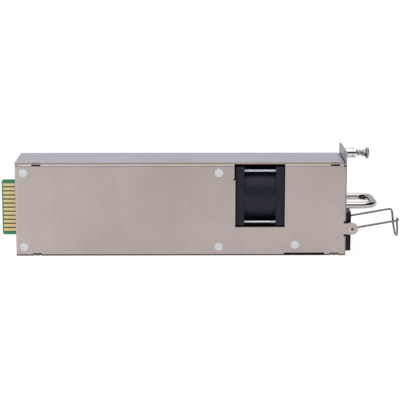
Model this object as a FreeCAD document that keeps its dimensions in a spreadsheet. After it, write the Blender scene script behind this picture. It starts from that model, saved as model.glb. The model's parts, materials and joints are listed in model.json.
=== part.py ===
import FreeCAD, Part
import math
import os
import re
import Sketcher

from FreeCAD import Placement, Rotation, Vector

# Hot swap server power supply: a sheet metal box that slides into a server on its long narrow
# side, with a card edge at the rear (-X), and the mains inlet, handle, plug retainer and captive
# screw at the front (+X). Z is up, and the origin is the middle of the underside.
SIZES = {
    # case: as thick as the fan and two sheets
    "case_length": 202.5, "case_height": 58, "sheet": 1, "bend_radius": 1.2,
    "side_flange": 9, "front_flange": 8, "seam_setback": 1.4, "cover_gap": 0.6, "relief": 0.75,
    "tab_rise": 6.3, "tab_setback": 1.5, "tab_corner": 0.8,
    # window for the fan, slot in the lower bend, and the widening of the window's upper part
    "window_margin": 1.2, "window_lap": 0.4, "window_step": 0.6, "window_step_drop": 10.2,
    "edge_slot_inset": 38.05, "edge_slot_length": 25,
    # snap dimples that hold the cover
    "dimple_inset": 13, "dimple_front_inset": 7.2, "dimple_radius": 3.7, "dimple_sink": 0.8,
    "dimple_slot": 5.5, "dimple_slot_reach": 6,
    # ears for the plug retainer
    "ear_reach": 7.45, "ear_width": 7.2, "pivot_level": 16.85, "ear_notch": 0.8, "ear_window": 2.4,
    # front panel
    "grille_hex": 1.9, "grille_pitch": 4.2, "grille_low": 35.6, "grille_gap": 4.6, "grille_top": 7.3,
    "light_radius": 1.5, "light_level": 36.5, "light_inset": 3.4, "light_length": 6, "light_dome": 0.8,
    # rear wall
    "card_slot_margin": 1.2, "rear_vent_height": 3, "rear_vent_width": 20, "rear_vent_pitch": 6.2,
    "rear_vent_low": 7, "rear_vent_side": -6, "rear_vent_top": 3,
    # main board and card edge
    "standoff_height": 3.7, "board": 1.6, "board_margin": 3, "card_reach": 8.5, "card_width": 34.2,
    "card_level": 29.9, "card_corner": 1.5, "finger_pitch": 2.54, "finger_width": 2, "finger_count": 12,
    "finger_foil": 0.1, "finger_tip_gap": 0.7, "board_fan_gap": 4.3, "strip_gap": 1.4, "strip_inset": 25.25,
    "film": 0.25, "film_hole": 2.9,
    # standoffs, clinched into the near face
    "standoff": 2.2, "standoff_inset": 5.05, "standoff_step": 6.9,
    "standoff_front_inset": 31.35, "standoff_low": 5.9, "standoff_drop": 6.1, "standoff_front_level": 7.1,
    "board_screw_radius": 1.25, "board_screw_head": 2.5, "board_screw_head_height": 1.6,
    # fan
    "fan_size": 38, "fan_length": 28, "fan_inset": 38.95, "fan_drop": 2.4, "fan_flange": 4.3, "fan_wall": 1.2,
    "fan_hole_inset": 3, "fan_screw": 1.2, "fan_screw_play": 0.3, "fan_screw_head": 2.4, "fan_corner": 2.5,
    "fan_hub": 9.5, "fan_hub_length": 4, "fan_strut": 1.4, "fan_strut_count": 5,
    "rotor_hub": 9, "rotor_wall": 1.2, "rotor_tip_gap": 1.7, "rotor_recess": 2, "rotor_gap": 1,
    "blade": 1.1, "blade_chord": 13, "blade_rise": 4, "blade_camber": 1.2, "blade_root": 0.6,
    "blade_count": 7, "fan_waist": 0.1, "fan_shaft": 1.5, "shaft_play": 0.05, "stator_radius": 6.5,
    "fan_bracket": 1, "bracket_foot": 7,
    # mains inlet
    "inlet_width": 31, "inlet_height": 24.6, "inlet_flange": 3.4, "inlet_level": 14.05,
    "inlet_corner": 2, "inlet_body_width": 27, "inlet_body_height": 19.8, "inlet_body_depth": 21,
    "socket_width": 24.2, "socket_height": 16, "socket_depth": 17.5, "socket_bevel": 4.5,
    "blade_width": 2, "blade_height": 4, "blade_side": 7, "blade_offset": 2, "blade_recess": 2.5,
    "terminal_reach": 7.5, "terminal": 0.8, "panel_hole_margin": 0.3,
    # handle
    "handle_rod": 2.2, "handle_inset": 4.5, "handle_reach": 17.95, "handle_level": 30.65,
    "handle_bend": 8, "handle_screw": 1.5, "handle_screw_head": 2.8, "handle_screw_grip": 6,
    # wire that holds the plug in
    "bail_wire": 0.65, "bail_play": 0.075, "bail_gap": 0.3, "bail_arm": 28.9, "bail_rise": 10,
    "bail_saddle": 12.4, "bail_drop": 13.2, "bail_lean": 5, "bail_bend": 2.2, "bail_head": 1.15,
    "bail_head_height": 0.5,
    # captive screw
    "screw_side": -2, "screw_rise": 3.2, "ferrule_radius": 3.05, "ferrule_reach": 7.1,
    "ferrule_spigot": 2.4, "ferrule_cup": 2.4, "ferrule_cup_depth": 2.5, "ferrule_web": 1.2,
    "ferrule_bore": 1.65, "ferrule_groove": 0.25, "ferrule_groove_at": 2.4, "screw_play": 0.1,
    "screw_stroke": 4.9, "screw_shank": 1.15, "screw_thread": 1.5, "screw_thread_length": 3.8,
    "screw_head": 3.5, "screw_head_height": 3, "screw_neck": 2.1, "screw_recess": 1.1,
    "spring_wire": 0.3, "spring_radius": 1.85, "spring_turns": 3.2,
    # parts on the board: places along it are shares of its run from the rear to the fan
    "sink": 2.5, "sink_drop": 8, "sink_depth": 27, "sink_start": 8.75, "sink_share": 0.2854, "sink_gap": 2,
    "fin": 1, "fin_pitch": 4, "fin_drop": 3, "fin_count": 6,
    "chip_width": 9, "chip_height": 15, "chip": 4.4, "chip_margin": 1, "leg": 0.8, "leg_length": 3,
    "bulk_radius": 14, "bulk_share": 0.6738, "bulk_start": 5, "bulk_gap": 0.6,
    "core_share": 0.3942, "core_width": 30, "core_height": 34, "core_depth": 20, "core_leg": 5,
    "coil_radius": 9.2, "bobbin": 1, "bobbin_gap": 0.1,
    "boost_share": 0.88, "boost_level": 26, "boost_radius": 10.5, "boost_hole": 4.5, "boost_width": 9,
    "boost_wire": 1.4, "turn_gap": 0.1, "choke_inset": 17.2, "choke_radius": 3.4, "choke_hole": 1.8,
    "choke_width": 6.8, "choke_wire": 0.6, "xcap_inset": 1.7, "xcap_length": 11, "xcap_width": 6.5,
    "xcap_height": 13, "ycap_inset": 22.4, "ycap_radius": 2.8, "ycap": 2, "ycap_pitch": 3.2,
    "fuse_inset": 2.6, "fuse_radius": 2.6, "fuse_length": 14, "fuse_gap": 1.6, "fuse_cap": 3,
    "fuse_step": 0.3,
    "bridge_share": 0.8835, "bridge_width": 16, "bridge_height": 15, "bridge_level": 7,
    "outcap_inset": 4.75, "outcap_radius": 4, "outcap_length": 16, "outcap_pitch": 8.4, "outcap_low": 12.4,
    "outcap_count": 4, "can_collar": 2, "can_edge": 0.5, "outcoil_share": 0.1534, "outcoil_level": 18.5,
    "outcoil_radius": 8.5, "outcoil_hole": 4, "outcoil_width": 10, "outcoil_wire": 1.2, "standby_size": 12,
    "standby_height": 10, "control_share": 0.235, "control_width": 24, "control_level": 6, "control_gap": 2,
    "chip_small": 9, "chip_small_height": 1.6, "chip_rise": 8,
    "header": 6, "header_height": 7, "header_gap": 0.5,
}
# Places and sizes that follow from the others, and that several pieces share.
PLACES = {
    # case, as thick as the fan between its two sheets
    "front_end": "case_length / 2",
    "rear_end": "-case_length / 2",
    "panel_back": "front_end - sheet",
    "far_inside": "fan_size / 2",
    "near_inside": "-far_inside",
    "far_side": "far_inside + sheet",
    "near_side": "-far_side",
    "case_depth": "fan_size + 2 * sheet",
    "pivot_reach": "front_end + ear_reach - ear_width / 2",
    # board
    "board_near": "near_inside + standoff_height",
    "board_top": "board_near + board",
    # fan, and the window in the near face beside it
    "fan_front": "front_end - fan_inset",
    "fan_rear": "fan_front - fan_length",
    "fan_level": "case_height - fan_drop - fan_size / 2",
    "fan_bore": "fan_size / 2 - fan_wall",
    "fan_hole": "fan_size / 2 - fan_hole_inset",
    "rotor_length": "fan_length - fan_hub_length - rotor_gap - rotor_recess",
    "window_left": "fan_rear - window_margin",
    "window_step_level": "case_height - window_step_drop",
    # openings of the case; the rows of a honeycomb are 0.866 of its pitch apart
    "edge_slot_start": "front_end - edge_slot_inset",
    "grille_rise": "0.866 * grille_pitch",
    "grille_rows": "floor((case_height - grille_low - grille_top) / (2 * grille_rise)) + 1",
    "light_side": "far_inside - light_inset",
    "grille_side": "light_side - grille_gap",
    "grille_columns": "floor((grille_side - near_inside - grille_hex) / grille_pitch) + 1",
    "rear_vent_span": "case_height - rear_vent_low - rear_vent_height - rear_vent_top",
    "rear_vent_count": "floor(rear_vent_span / rear_vent_pitch) + 1",
    # handle
    "handle_side": "far_inside - handle_inset",
    # board's run from the rear to the fan, and the strip under the fan
    "board_step": "fan_rear - board_fan_gap",
    "board_rear": "rear_end + sheet + board_margin / 2",
    "run": "board_step - board_rear",
    "strip_height": "fan_level - fan_size / 2 - strip_gap",
    "strip_end": "front_end - strip_inset",
    # standoffs
    "standoff_rear": "rear_end + standoff_inset",
    "standoff_mid": "board_step - standoff_step",
    "standoff_front": "front_end - standoff_front_inset",
    "standoff_high": "case_height - standoff_drop",
    # plug retainer and captive screw
    "bail_side": "far_inside - bail_wire - bail_gap",
    "bail_hole": "bail_wire + bail_play",
    "screw_level": "case_height + screw_rise",
    "web_front": "ferrule_reach - ferrule_cup_depth",
    "web_rear": "web_front - ferrule_web",
    # heat sinks and what stands under them
    "sink_level": "case_height - sink_drop",
    "chip_level": "sink_level - chip",
    "primary_start": "board_rear + sink_share * run",
    "primary_length": "standoff_mid - 2 * board_screw_head - primary_start",
    "secondary_start": "board_rear + sink_start",
    "secondary_length": "primary_start - sink_gap - secondary_start",
    "outcoil_x": "board_rear + outcoil_share * run",
    "core_x": "board_rear + core_share * run",
    "core_level": "(board_margin + chip_level) / 2",
    "post_length": "core_height - 2 * core_leg",
    "bulk_x": "board_rear + bulk_share * run",
    "bulk_length": "chip_level - bulk_gap - bulk_start",
    "boost_x": "board_rear + boost_share * run",
    "bridge_x": "board_rear + bridge_share * run - bridge_width / 2",
    "control_x": "board_rear + control_share * run",
    "control_height": "chip_level - control_gap - control_level",
    # parts on the strip and at the board's two ends
    "strip_level": "(board_margin + strip_height) / 2",
    "outcap_x": "board_rear + outcap_inset",
    "standby_x": "outcoil_x - standby_size / 2",
    "fuse_x": "board_step - fuse_inset",
    "fuse_y": "board_top + fuse_radius",
    "header_level": "strip_height + header / 2",
    "fuse_level": "header_level + 1.4 * header + fuse_gap",
}

doc = FreeCAD.newDocument("hot_swap_power_supply")
sheet = doc.addObject("Spreadsheet::Sheet", "Sizes")
cells = [(alias, str(number)) for alias, number in SIZES.items()]
cells += [(alias, f"={rule}") for alias, rule in PLACES.items()]
for row, (alias, content) in enumerate(cells, start=1):
    sheet.set(f"A{row}", alias)
    sheet.setAlias(f"B{row}", alias)
    sheet.set(f"B{row}", content)
doc.recompute()

STANDOFFS = (
    ("standoff_rear", "standoff_low"),
    ("standoff_rear", "standoff_high"),
    ("standoff_mid", "standoff_low"),
    ("standoff_mid", "standoff_high"),
    ("standoff_front", "standoff_front_level"),
)
# Ring chokes: the word that begins their sizes, their full name and their number of turns.
RINGS = {"boost": ("boost_inductor", 9), "outcoil": ("output_inductor", 8), "choke": ("mains_choke", 6)}
FIRST_TURN, TURN_SPREAD = 30, 300
PARALLEL, TOUCHING = 1e-6, 1e-4
X_AXIS, Y_AXIS, Z_AXIS = Vector(1, 0, 0), Vector(0, 1, 0), Vector(0, 0, 1)
ALONG = {"X": Rotation(), "-X": Rotation(Z_AXIS, 180), "Y": Rotation(Z_AXIS, 90), "Z": Rotation(Y_AXIS, -90)}
NAMES = {*SIZES, *PLACES}
subparts = []


def size(alias):
    return float(sheet.get(alias))


def formula(text):
    """A formula in the sheet's names, as the document reads it."""
    def full_name(word):
        return f"Sizes.{word.group()}" if word.group() in NAMES else word.group()
    return re.sub(r"[a-z][a-z_]+", full_name, str(text))


def bind(thing, **formulas):
    for path, text in formulas.items():
        thing.setExpression(path.replace("__", "."), formula(text))
    return thing


def place(thing, x, y, z, axis="X"):
    """Puts a piece's own origin at a point, with its own X axis along an axis of the part."""
    thing.Placement = Placement(Vector(), ALONG[axis])
    return bind(thing, Placement__Base__x=x, Placement__Base__y=y, Placement__Base__z=z)


def keep(thing, label):
    thing.Label = label
    subparts.append(thing)
    return thing


# Sketches and the features made from them

def new_body(name):
    return doc.addObject("PartDesign::Body", name)


def new_sketch(body, role, offset):
    sketch = body.newObject("Sketcher::SketchObject", f"{body.Name}_sketch")
    origin_plane = next(item for item in body.Origin.OriginFeatures if item.Role == role)
    sketch.AttachmentSupport = (origin_plane, [""])
    sketch.MapMode = "FlatFace"
    return bind(sketch, AttachmentOffset__Base__z=offset)


def dimension(sketch, kind, text, *where):
    index = sketch.addConstraint(Sketcher.Constraint(kind, *where, 1.0))
    sketch.setExpression(f"Constraints[{index}]", formula(text))


def outline(sketch, corners):
    """A closed outline of straight lines, each corner a pair of formulas."""
    first = sketch.GeometryCount
    count = len(corners)
    turn = 2 * math.pi / count
    spots = [Vector(math.cos(turn * step), math.sin(turn * step), 0) for step in range(count)]
    for step in range(count):
        sketch.addGeometry(Part.LineSegment(spots[step], spots[(step + 1) % count]))
    for step, (across, up) in enumerate(corners):
        line = first + step
        sketch.addConstraint(Sketcher.Constraint("Coincident", line, 2, first + (step + 1) % count, 1))
        dimension(sketch, "DistanceX", across, -1, 1, line, 1)
        dimension(sketch, "DistanceY", up, -1, 1, line, 1)


def rectangle(low, high):
    return [low, (high[0], low[1]), high, (low[0], high[1])]


def circle(sketch, across, up, radius):
    ring = sketch.addGeometry(Part.Circle(Vector(1, 1, 0), Z_AXIS, 1))
    dimension(sketch, "DistanceX", across, -1, 1, ring, 3)
    dimension(sketch, "DistanceY", up, -1, 1, ring, 3)
    dimension(sketch, "Radius", radius, ring)


def drawn(body, role, offset, outlines=(), circles=()):
    sketch = new_sketch(body, role, offset)
    for corners in outlines:
        outline(sketch, corners)
    for centre_and_radius in circles:
        circle(sketch, *centre_and_radius)
    return sketch


def feature(body, kind, sketch, length, reverse):
    made = body.newObject(f"PartDesign::{kind}", f"{body.Name}_{kind.lower()}")
    made.Profile = sketch
    made.Reversed = reverse
    body.Tip = made
    return bind(made, Length=length)


def pad(body, role, offset, length, outlines=(), circles=(), reverse=False):
    """Material from a plane along its normal: +X from YZ, -Y from XZ, +Z from XY."""
    return feature(body, "Pad", drawn(body, role, offset, outlines, circles), length, reverse)


def pocket(body, role, offset, length, outlines=(), circles=(), reverse=False):
    """A cut from a plane against its normal: -X from YZ, +Y from XZ, -Z from XY."""
    return feature(body, "Pocket", drawn(body, role, offset, outlines, circles), length, reverse)


def edges_along(shape, axis, spots):
    """Names of the straight edges along an axis that pass through any of the spots."""
    names = []
    for number, edge in enumerate(shape.Edges, start=1):
        straight = edge.Curve.TypeId == "Part::GeomLine"
        if not straight or edge.tangentAt(edge.FirstParameter).cross(axis).Length > PARALLEL:
            continue
        start = edge.Vertexes[0].Point
        for spot in spots:
            if (start - spot).cross(axis).Length < TOUCHING:
                names.append(f"Edge{number}")
    return names


def rounded(body, radius, edges):
    """A fillet on edges given as pairs of an axis and the spots that the edges pass through."""
    doc.recompute()
    base = body.Tip
    names = [name for axis, spots in edges for name in edges_along(base.Shape, axis, spots)]
    fillet = body.newObject("PartDesign::Fillet", f"{body.Name}_fillet")
    fillet.Base = (base, names)
    body.Tip = fillet
    return bind(fillet, Radius=radius)


def turned(name, profile, x, y, z, axis="X"):
    """A turned piece: its profile, as pairs of length along the axis and radius, about that axis."""
    body = new_body(name)
    sketch = drawn(body, "XY_Plane", "0", [profile])
    spin = body.newObject("PartDesign::Revolution", f"{name}_turn")
    spin.Profile = sketch
    spin.ReferenceAxis = (sketch, ["H_Axis"])
    spin.Angle = 360
    body.Tip = spin
    return place(body, x, y, z, axis)


# Simple solids, for the parts that are bought in

def box(name, low, extent):
    block = doc.addObject("Part::Box", name)
    bind(block, Length=extent[0], Width=extent[1], Height=extent[2])
    return bind(block, Placement__Base__x=low[0], Placement__Base__y=low[1], Placement__Base__z=low[2])


def rod(name, radius, length, x, y, z, axis):
    """A cylinder from a point along an axis."""
    made = doc.addObject("Part::Cylinder", name)
    bind(made, Radius=radius, Height=length)
    turns = {"X": Rotation(Y_AXIS, 90), "Y": Rotation(X_AXIS, -90), "Z": Rotation()}
    made.Placement = Placement(Vector(), turns[axis])
    return bind(made, Placement__Base__x=x, Placement__Base__y=y, Placement__Base__z=z)


def fused(name, solids):
    made = doc.addObject("Part::MultiFuse", name)
    made.Shapes = solids
    return made


def cut(name, base, tool):
    made = doc.addObject("Part::Cut", name)
    made.Base = base
    made.Tool = tool
    return made


def together(name, solids):
    """Like pieces that share a node, each still a solid of its own."""
    made = doc.addObject("Part::Compound", name)
    made.Links = solids
    return made


def ring(name, radius, hole, width, x, y, z, axis):
    outside = rod(f"{name}_outside", radius, width, x, y, z, axis)
    inside = rod(f"{name}_inside", hole, width, x, y, z, axis)
    return cut(name, outside, inside)


def bent_path(points, radii):
    """Straight runs joined by tangent arcs: the middle line of a bent wire."""
    edges = []
    start = points[0]
    for before, corner, after, radius in zip(points, points[1:], points[2:], radii):
        back = (before - corner).normalize()
        onward = (after - corner).normalize()
        half = back.getAngle(onward) / 2
        setback = radius / math.tan(half)
        middle = corner + (back + onward).normalize() * (radius / math.sin(half) - radius)
        arc = Part.Arc(corner + back * setback, middle, corner + onward * setback)
        edges += [Part.LineSegment(start, corner + back * setback).toShape(), arc.toShape()]
        start = corner + onward * setback
    edges.append(Part.LineSegment(start, points[-1]).toShape())
    return Part.Wire(edges)


def wire_section(spot, direction, radius, sides=0):
    """A wire's section: round, or with flat sides, which keep tight bends and coils light."""
    if not sides:
        return Part.Wire([Part.makeCircle(radius, spot, direction)])
    turns = [Rotation(direction, 360 * side / sides) for side in range(sides + 1)]
    return Part.makePolygon([spot + turn.multVec(Z_AXIS * radius) for turn in turns])


def swept(path, radius, sides=0):
    first = path.Edges[0]
    start, direction = first.valueAt(first.FirstParameter), first.tangentAt(first.FirstParameter)
    return path.makePipeShell([wire_section(start, direction, radius, sides)], True, False)


def shaped(name, shape):
    made = doc.addObject("Part::Feature", name)
    made.Shape = shape
    return made


# Case

def base_chassis():
    """One bent sheet: the large near face, its side flanges, the rear wall, the front panel and the ears."""
    body = new_body("base_chassis")
    low, high = "sheet", "case_height - sheet"
    outside = rectangle(("rear_end", low), ("front_end", high))
    pad(body, "XZ_Plane", "far_side", "case_depth", [outside], reverse=True)
    near, half = -size("case_depth") / 2, size("case_length") / 2
    bottom, top = size("sheet"), size("case_height") - size("sheet")
    rounded(body, "bend_radius", [
        (X_AXIS, [Vector(0, near, bottom), Vector(0, near, top)]),
        (Z_AXIS, [Vector(-half, near, 0), Vector(half, near, 0)]),
    ])
    inside = rectangle(("rear_end + sheet", "2 * sheet"), ("panel_back", "case_height - 2 * sheet"))
    pocket(body, "XZ_Plane", "near_side", "case_depth - sheet", [inside], reverse=True)
    bend_low, bend_high = "2 * sheet + bend_radius", "case_height - 2 * sheet - bend_radius"
    pocket(body, "XZ_Plane", "near_side", "case_depth - side_flange", [
        rectangle(("rear_end + sheet", "0"), ("panel_back", bend_low)),
        rectangle(("rear_end + sheet", bend_high), ("panel_back", "case_height")),
    ], reverse=True)
    rear_edge = rectangle(("rear_end - sheet", "0"), ("rear_end + 2 * sheet", "case_height"))
    pocket(body, "XZ_Plane", "near_side", "sheet", [rear_edge], reverse=True)
    front_panel(body)
    face_openings(body)
    panel_openings(body)
    rear_openings(body)
    return keep(body, "base_chassis")


def front_panel(body):
    """The tab above the case, the far return flange and the two ears that carry the plug retainer."""
    tab_top = "case_height + tab_rise"
    pad(body, "YZ_Plane", "panel_back", "sheet", [
        rectangle(("near_side + tab_setback", "case_height - 2 * sheet"), ("far_side", tab_top)),
    ])
    half, top = size("case_length") / 2, size("case_height") + size("tab_rise")
    near, far = size("tab_setback") - size("case_depth") / 2, size("case_depth") / 2
    rounded(body, "tab_corner", [(X_AXIS, [Vector(half, near, top), Vector(half, far, top)])])
    ear_low, ear_high = "pivot_level - ear_width / 2", "pivot_level + ear_width / 2"
    notch_low, notch_high = f"{ear_low} - ear_notch", f"{ear_high} + ear_notch"
    pad(body, "XZ_Plane", "-far_inside", "sheet", [
        rectangle(
            ("panel_back - front_flange", f"{notch_high} + sheet"),
            ("front_end - sheet / 2", "case_height - 4 * sheet"),
        ),
    ])
    ear = rectangle(("panel_back - bend_radius", ear_low), ("front_end + ear_reach", ear_high))
    pad(body, "XZ_Plane", "far_side", "sheet", [ear], reverse=True)
    ear_far = rectangle(("panel_back", ear[0][1]), ear[2])
    pad(body, "XZ_Plane", "near_side", "sheet", [ear_far])
    tip = half + size("ear_reach")
    ends = [Vector(tip, 0, size("pivot_level") + side * size("ear_width") / 2) for side in (-1, 1)]
    rounded(body, "ear_width / 2 - 0.05", [(Y_AXIS, ends)])
    pocket(body, "XZ_Plane", "far_side", "case_depth", circles=[("pivot_reach", "pivot_level", "bail_hole")])
    window = rectangle(("near_inside", notch_low), ("near_inside + ear_window", notch_high))
    pocket(body, "YZ_Plane", "front_end", "sheet", [window])
    pocket(body, "YZ_Plane", "front_end + sheet", "2 * sheet + ear_notch / 4", [
        rectangle((f"{side} - sheet", start), (f"{side} + sheet", end))
        for start, end in ((notch_low, ear_low), (ear_high, notch_high))
        for side in ("near_side", "far_side")
    ])


def face_openings(body):
    """Fan window, slot in the lower bend, slots for the cover's dimples, and the reliefs at the corners."""
    window_low, window_end = "fan_level - fan_size / 2 + window_lap", "fan_front + window_margin"
    pocket(body, "XZ_Plane", "far_side", "side_flange + sheet", [
        rectangle(("window_left", window_low), (window_end, "case_height")),
    ])
    step_end = "window_left + sheet / 2"
    pocket(body, "XZ_Plane", "far_side", "side_flange + sheet", [
        rectangle(("window_left - window_step", "window_step_level"), (step_end, "case_height")),
        rectangle(("edge_slot_start", "0"), ("edge_slot_start + edge_slot_length", "2 * sheet")),
    ])
    pocket(body, "XZ_Plane", "far_side", "sheet", [
        rectangle(
            ("window_left - 2 * window_step", "window_step_level - window_step"),
            (step_end, "window_step_level + sheet / 4"),
        ),
    ])
    for middle in ("rear_end + dimple_inset", "front_end - dimple_front_inset"):
        pocket(body, "XZ_Plane", "far_side", "dimple_slot_reach", [
            rectangle((f"{middle} - dimple_slot / 2", low), (f"{middle} + dimple_slot / 2", high))
            for low, high in (("0", "2 * sheet"), ("case_height - 2 * sheet", "case_height"))
        ])
    ends = ("rear_end + sheet + relief / 2", "panel_back - relief / 2")
    levels = ("2 * sheet", "case_height - 2 * sheet")
    corner_holes = [(end, level, "relief") for end in ends for level in levels]
    pocket(body, "XZ_Plane", "far_side", "3 * sheet", circles=corner_holes)
    gaps = [("rear_end + sheet", "rear_end + sheet + relief"), ("panel_back - relief", "panel_back")]
    pocket(body, "XY_Plane", "case_height", "case_height", [
        rectangle((start, "near_inside"), (end, "near_side + side_flange + sheet")) for start, end in gaps
    ])
    pocket(body, "XZ_Plane", "far_side", "sheet", circles=[(x, z, "standoff") for x, z in STANDOFFS])


def panel_openings(body):
    """Holes in the front panel: honeycomb grille, inlet, handle screws, status light and captive screw."""
    wide, high = "inlet_body_width / 2 + panel_hole_margin", "inlet_body_height / 2 + panel_hole_margin"
    pocket(body, "YZ_Plane", "front_end", "sheet", [
        rectangle((f"-({wide})", f"inlet_level - ({high})"), (wide, f"inlet_level + {high}")),
    ])
    pocket(body, "YZ_Plane", "front_end", "sheet", circles=[
        ("handle_side", "handle_level", "handle_screw + panel_hole_margin / 2"),
        ("-handle_side", "handle_level", "handle_screw + panel_hole_margin / 2"),
        ("light_side", "light_level", "light_radius"),
        ("screw_side", "screw_level", "ferrule_spigot"),
    ])
    sixths = [math.radians(60 * corner) for corner in range(6)]
    for row in (0, 1):
        cells = []
        for column in range(int(size("grille_columns")) - row):
            middle = f"grille_side - {column + row / 2} * grille_pitch"
            up = f"grille_low + {row} * grille_rise"
            cells.append([
                (f"{middle} + {math.sin(turn):.4f} * grille_hex", f"{up} + {math.cos(turn):.4f} * grille_hex")
                for turn in sixths
            ])
        cells_cut = pocket(body, "YZ_Plane", "front_end", "sheet", cells)
        repeated(body, cells_cut, "V_Axis", "2 * grille_rise * (grille_rows - 1)", "grille_rows")


def repeated(body, original, axis, length, occurrences):
    pattern = body.newObject("PartDesign::LinearPattern", f"{body.Name}_pattern")
    pattern.Originals = [original]
    pattern.Direction = (original.Profile[0], [axis])
    body.Tip = pattern
    return bind(pattern, Length=length, Occurrences=occurrences)


def rear_openings(body):
    """The rear wall's slot for the card edge, and the row of air slots beside it."""
    half = "(card_width / 2 + card_slot_margin)"
    slot_low, slot_high = f"card_level - {half}", f"card_level + {half}"
    pocket(body, "YZ_Plane", "rear_end + sheet", "sheet", [
        rectangle(("near_inside", slot_low), ("board_top + card_slot_margin", slot_high)),
    ])
    vent_end, vent_high = "rear_vent_side + rear_vent_width", "rear_vent_low + rear_vent_height"
    slot = pocket(body, "YZ_Plane", "rear_end + sheet", "sheet", [
        rectangle(("rear_vent_side", "rear_vent_low"), (vent_end, vent_high)),
    ])
    repeated(body, slot, "V_Axis", "rear_vent_pitch * (rear_vent_count - 1)", "rear_vent_count")


def outer_cover():
    """U-shaped sheet over the other three sides, with a half-round dimple pressed in at each slot."""
    body = new_body("outer_cover")
    edge = "case_depth / 2 - seam_setback"
    end = "panel_back - cover_gap"
    outside = rectangle(("rear_end", "0"), (end, "case_height"))
    pad(body, "XZ_Plane", edge, "case_depth - seam_setback", [outside], reverse=True)
    far, top = size("case_depth") / 2, size("case_height")
    rounded(body, "bend_radius", [(X_AXIS, [Vector(0, far, 0), Vector(0, far, top)])])
    inside = rectangle(("rear_end - sheet", "sheet"), ("front_end", "case_height - sheet"))
    pocket(body, "XZ_Plane", edge, "case_depth - seam_setback - sheet", [inside])
    ends = ("rear_end + dimple_inset", "front_end - dimple_front_inset")
    levels = ("dimple_sink - dimple_radius", "case_height - dimple_sink + dimple_radius")
    spots = [(end, level) for end in ends for level in levels]
    for x, z in spots:
        ball(body, "AdditiveSphere", "dimple_radius + sheet", x, f"-({edge})", z)
    # What the balls add beyond the sheet's faces and its edge is cut off again.
    reach = "2 * (dimple_radius + sheet)"
    beyond = rectangle(("2 * rear_end", "-case_length"), ("case_length", "case_length"))
    for level, upward in (("case_height", True), ("0", False)):
        pocket(body, "XY_Plane", level, reach, [beyond], reverse=upward)
    pocket(body, "XZ_Plane", edge, reach, [beyond], reverse=True)
    for x, z in spots:
        ball(body, "SubtractiveSphere", "dimple_radius", x, f"-({edge})", z)
    return keep(body, "outer_cover")


def ball(body, kind, radius, x, y, z):
    made = body.newObject(f"PartDesign::{kind}", f"{body.Name}_ball")
    body.Tip = made
    return bind(made, Radius=radius, Placement__Base__x=x, Placement__Base__y=y, Placement__Base__z=z)


def standoffs_and_screws():
    """Clinched studs, flush with the near face, and the screws that hold the board on them."""
    studs, screws = [], []
    for number, (x, z) in enumerate(STANDOFFS, start=1):
        studs.append(turned(f"standoff_{number}", [
            ("0", "0"), ("0", "standoff"), ("sheet + standoff_height", "standoff"),
            ("sheet + standoff_height", "board_screw_radius"),
            ("2 * sheet", "board_screw_radius"), ("2 * sheet", "0"),
        ], x, "near_side", z, "Y"))
        screws.append(turned(f"board_screw_{number}", [
            ("-standoff_height + 2 * sheet", "0"), ("-standoff_height + 2 * sheet", "board_screw_radius"),
            ("board", "board_screw_radius"), ("board", "board_screw_head"),
            ("board + board_screw_head_height", "board_screw_head * 0.7"),
            ("board + board_screw_head_height", "0"),
        ], x, "board_near", z, "Y"))
    keep(together("board_standoffs", studs), "board_standoffs")
    keep(together("board_screws", screws), "board_screws")


# Board

def main_board():
    """Board with a strip under the fan towards the inlet and a card edge that reaches out of the rear."""
    body = new_body("main_board")
    low, high = "board_margin", "case_height - board_margin"
    card_low, card_high = "card_level - card_width / 2", "card_level + card_width / 2"
    tip = "rear_end - card_reach"
    pad(body, "XZ_Plane", "-board_top", "board", [[
        (tip, card_low), ("board_rear", card_low), ("board_rear", low), ("strip_end", low),
        ("strip_end", "strip_height"), ("board_step", "strip_height"), ("board_step", high),
        ("board_rear", high), ("board_rear", card_high), (tip, card_high),
    ]])
    end = -size("case_length") / 2 - size("card_reach")
    corners = [Vector(end, 0, size("card_level") + side * size("card_width") / 2) for side in (-1, 1)]
    rounded(body, "card_corner", [(Y_AXIS, corners)])
    holes = [(x, z, "board_screw_radius") for x, z in STANDOFFS]
    pocket(body, "XZ_Plane", "-board_near", "board", circles=holes)
    return keep(body, "main_board")


def gold_fingers():
    """Contact pads on both faces of the card edge."""
    pads = []
    extent = ("card_reach - finger_tip_gap", "finger_foil", "finger_width")
    for number in range(int(size("finger_count"))):
        level = f"card_level + ({number} - (finger_count - 1) / 2) * finger_pitch - finger_width / 2"
        for side, y in (("near", "board_near - finger_foil"), ("far", "board_top")):
            low = ("rear_end - card_reach + finger_tip_gap", y, level)
            pads.append(box(f"finger_{side}_{number}", low, extent))
    keep(together("gold_fingers", pads), "gold_fingers")


def insulating_film():
    """Black film between the board and the metal, folded up along the lower flange."""
    body = new_body("insulating_film")
    left, right, step = "standoff_rear + 2 * film_hole", "front_end - 3 * sheet", "fan_rear - bracket_foot"
    pad(body, "XZ_Plane", "-near_inside", "film", [[
        (left, "2 * sheet"), (right, "2 * sheet"), (right, "strip_height"), (step, "strip_height"),
        (step, "case_height - 2.5 * sheet"), (left, "case_height - 2.5 * sheet"),
    ]], reverse=True)
    fold = rectangle((left, "near_inside"), (right, "near_side + side_flange"))
    pad(body, "XY_Plane", "2 * sheet", "film", [fold])
    holes = [(x, z, "film_hole") for x, z in STANDOFFS if x != "standoff_rear"]
    pocket(body, "XZ_Plane", "far_side", "3 * sheet", circles=holes)
    return keep(body, "insulating_film")


# Fan

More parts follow.
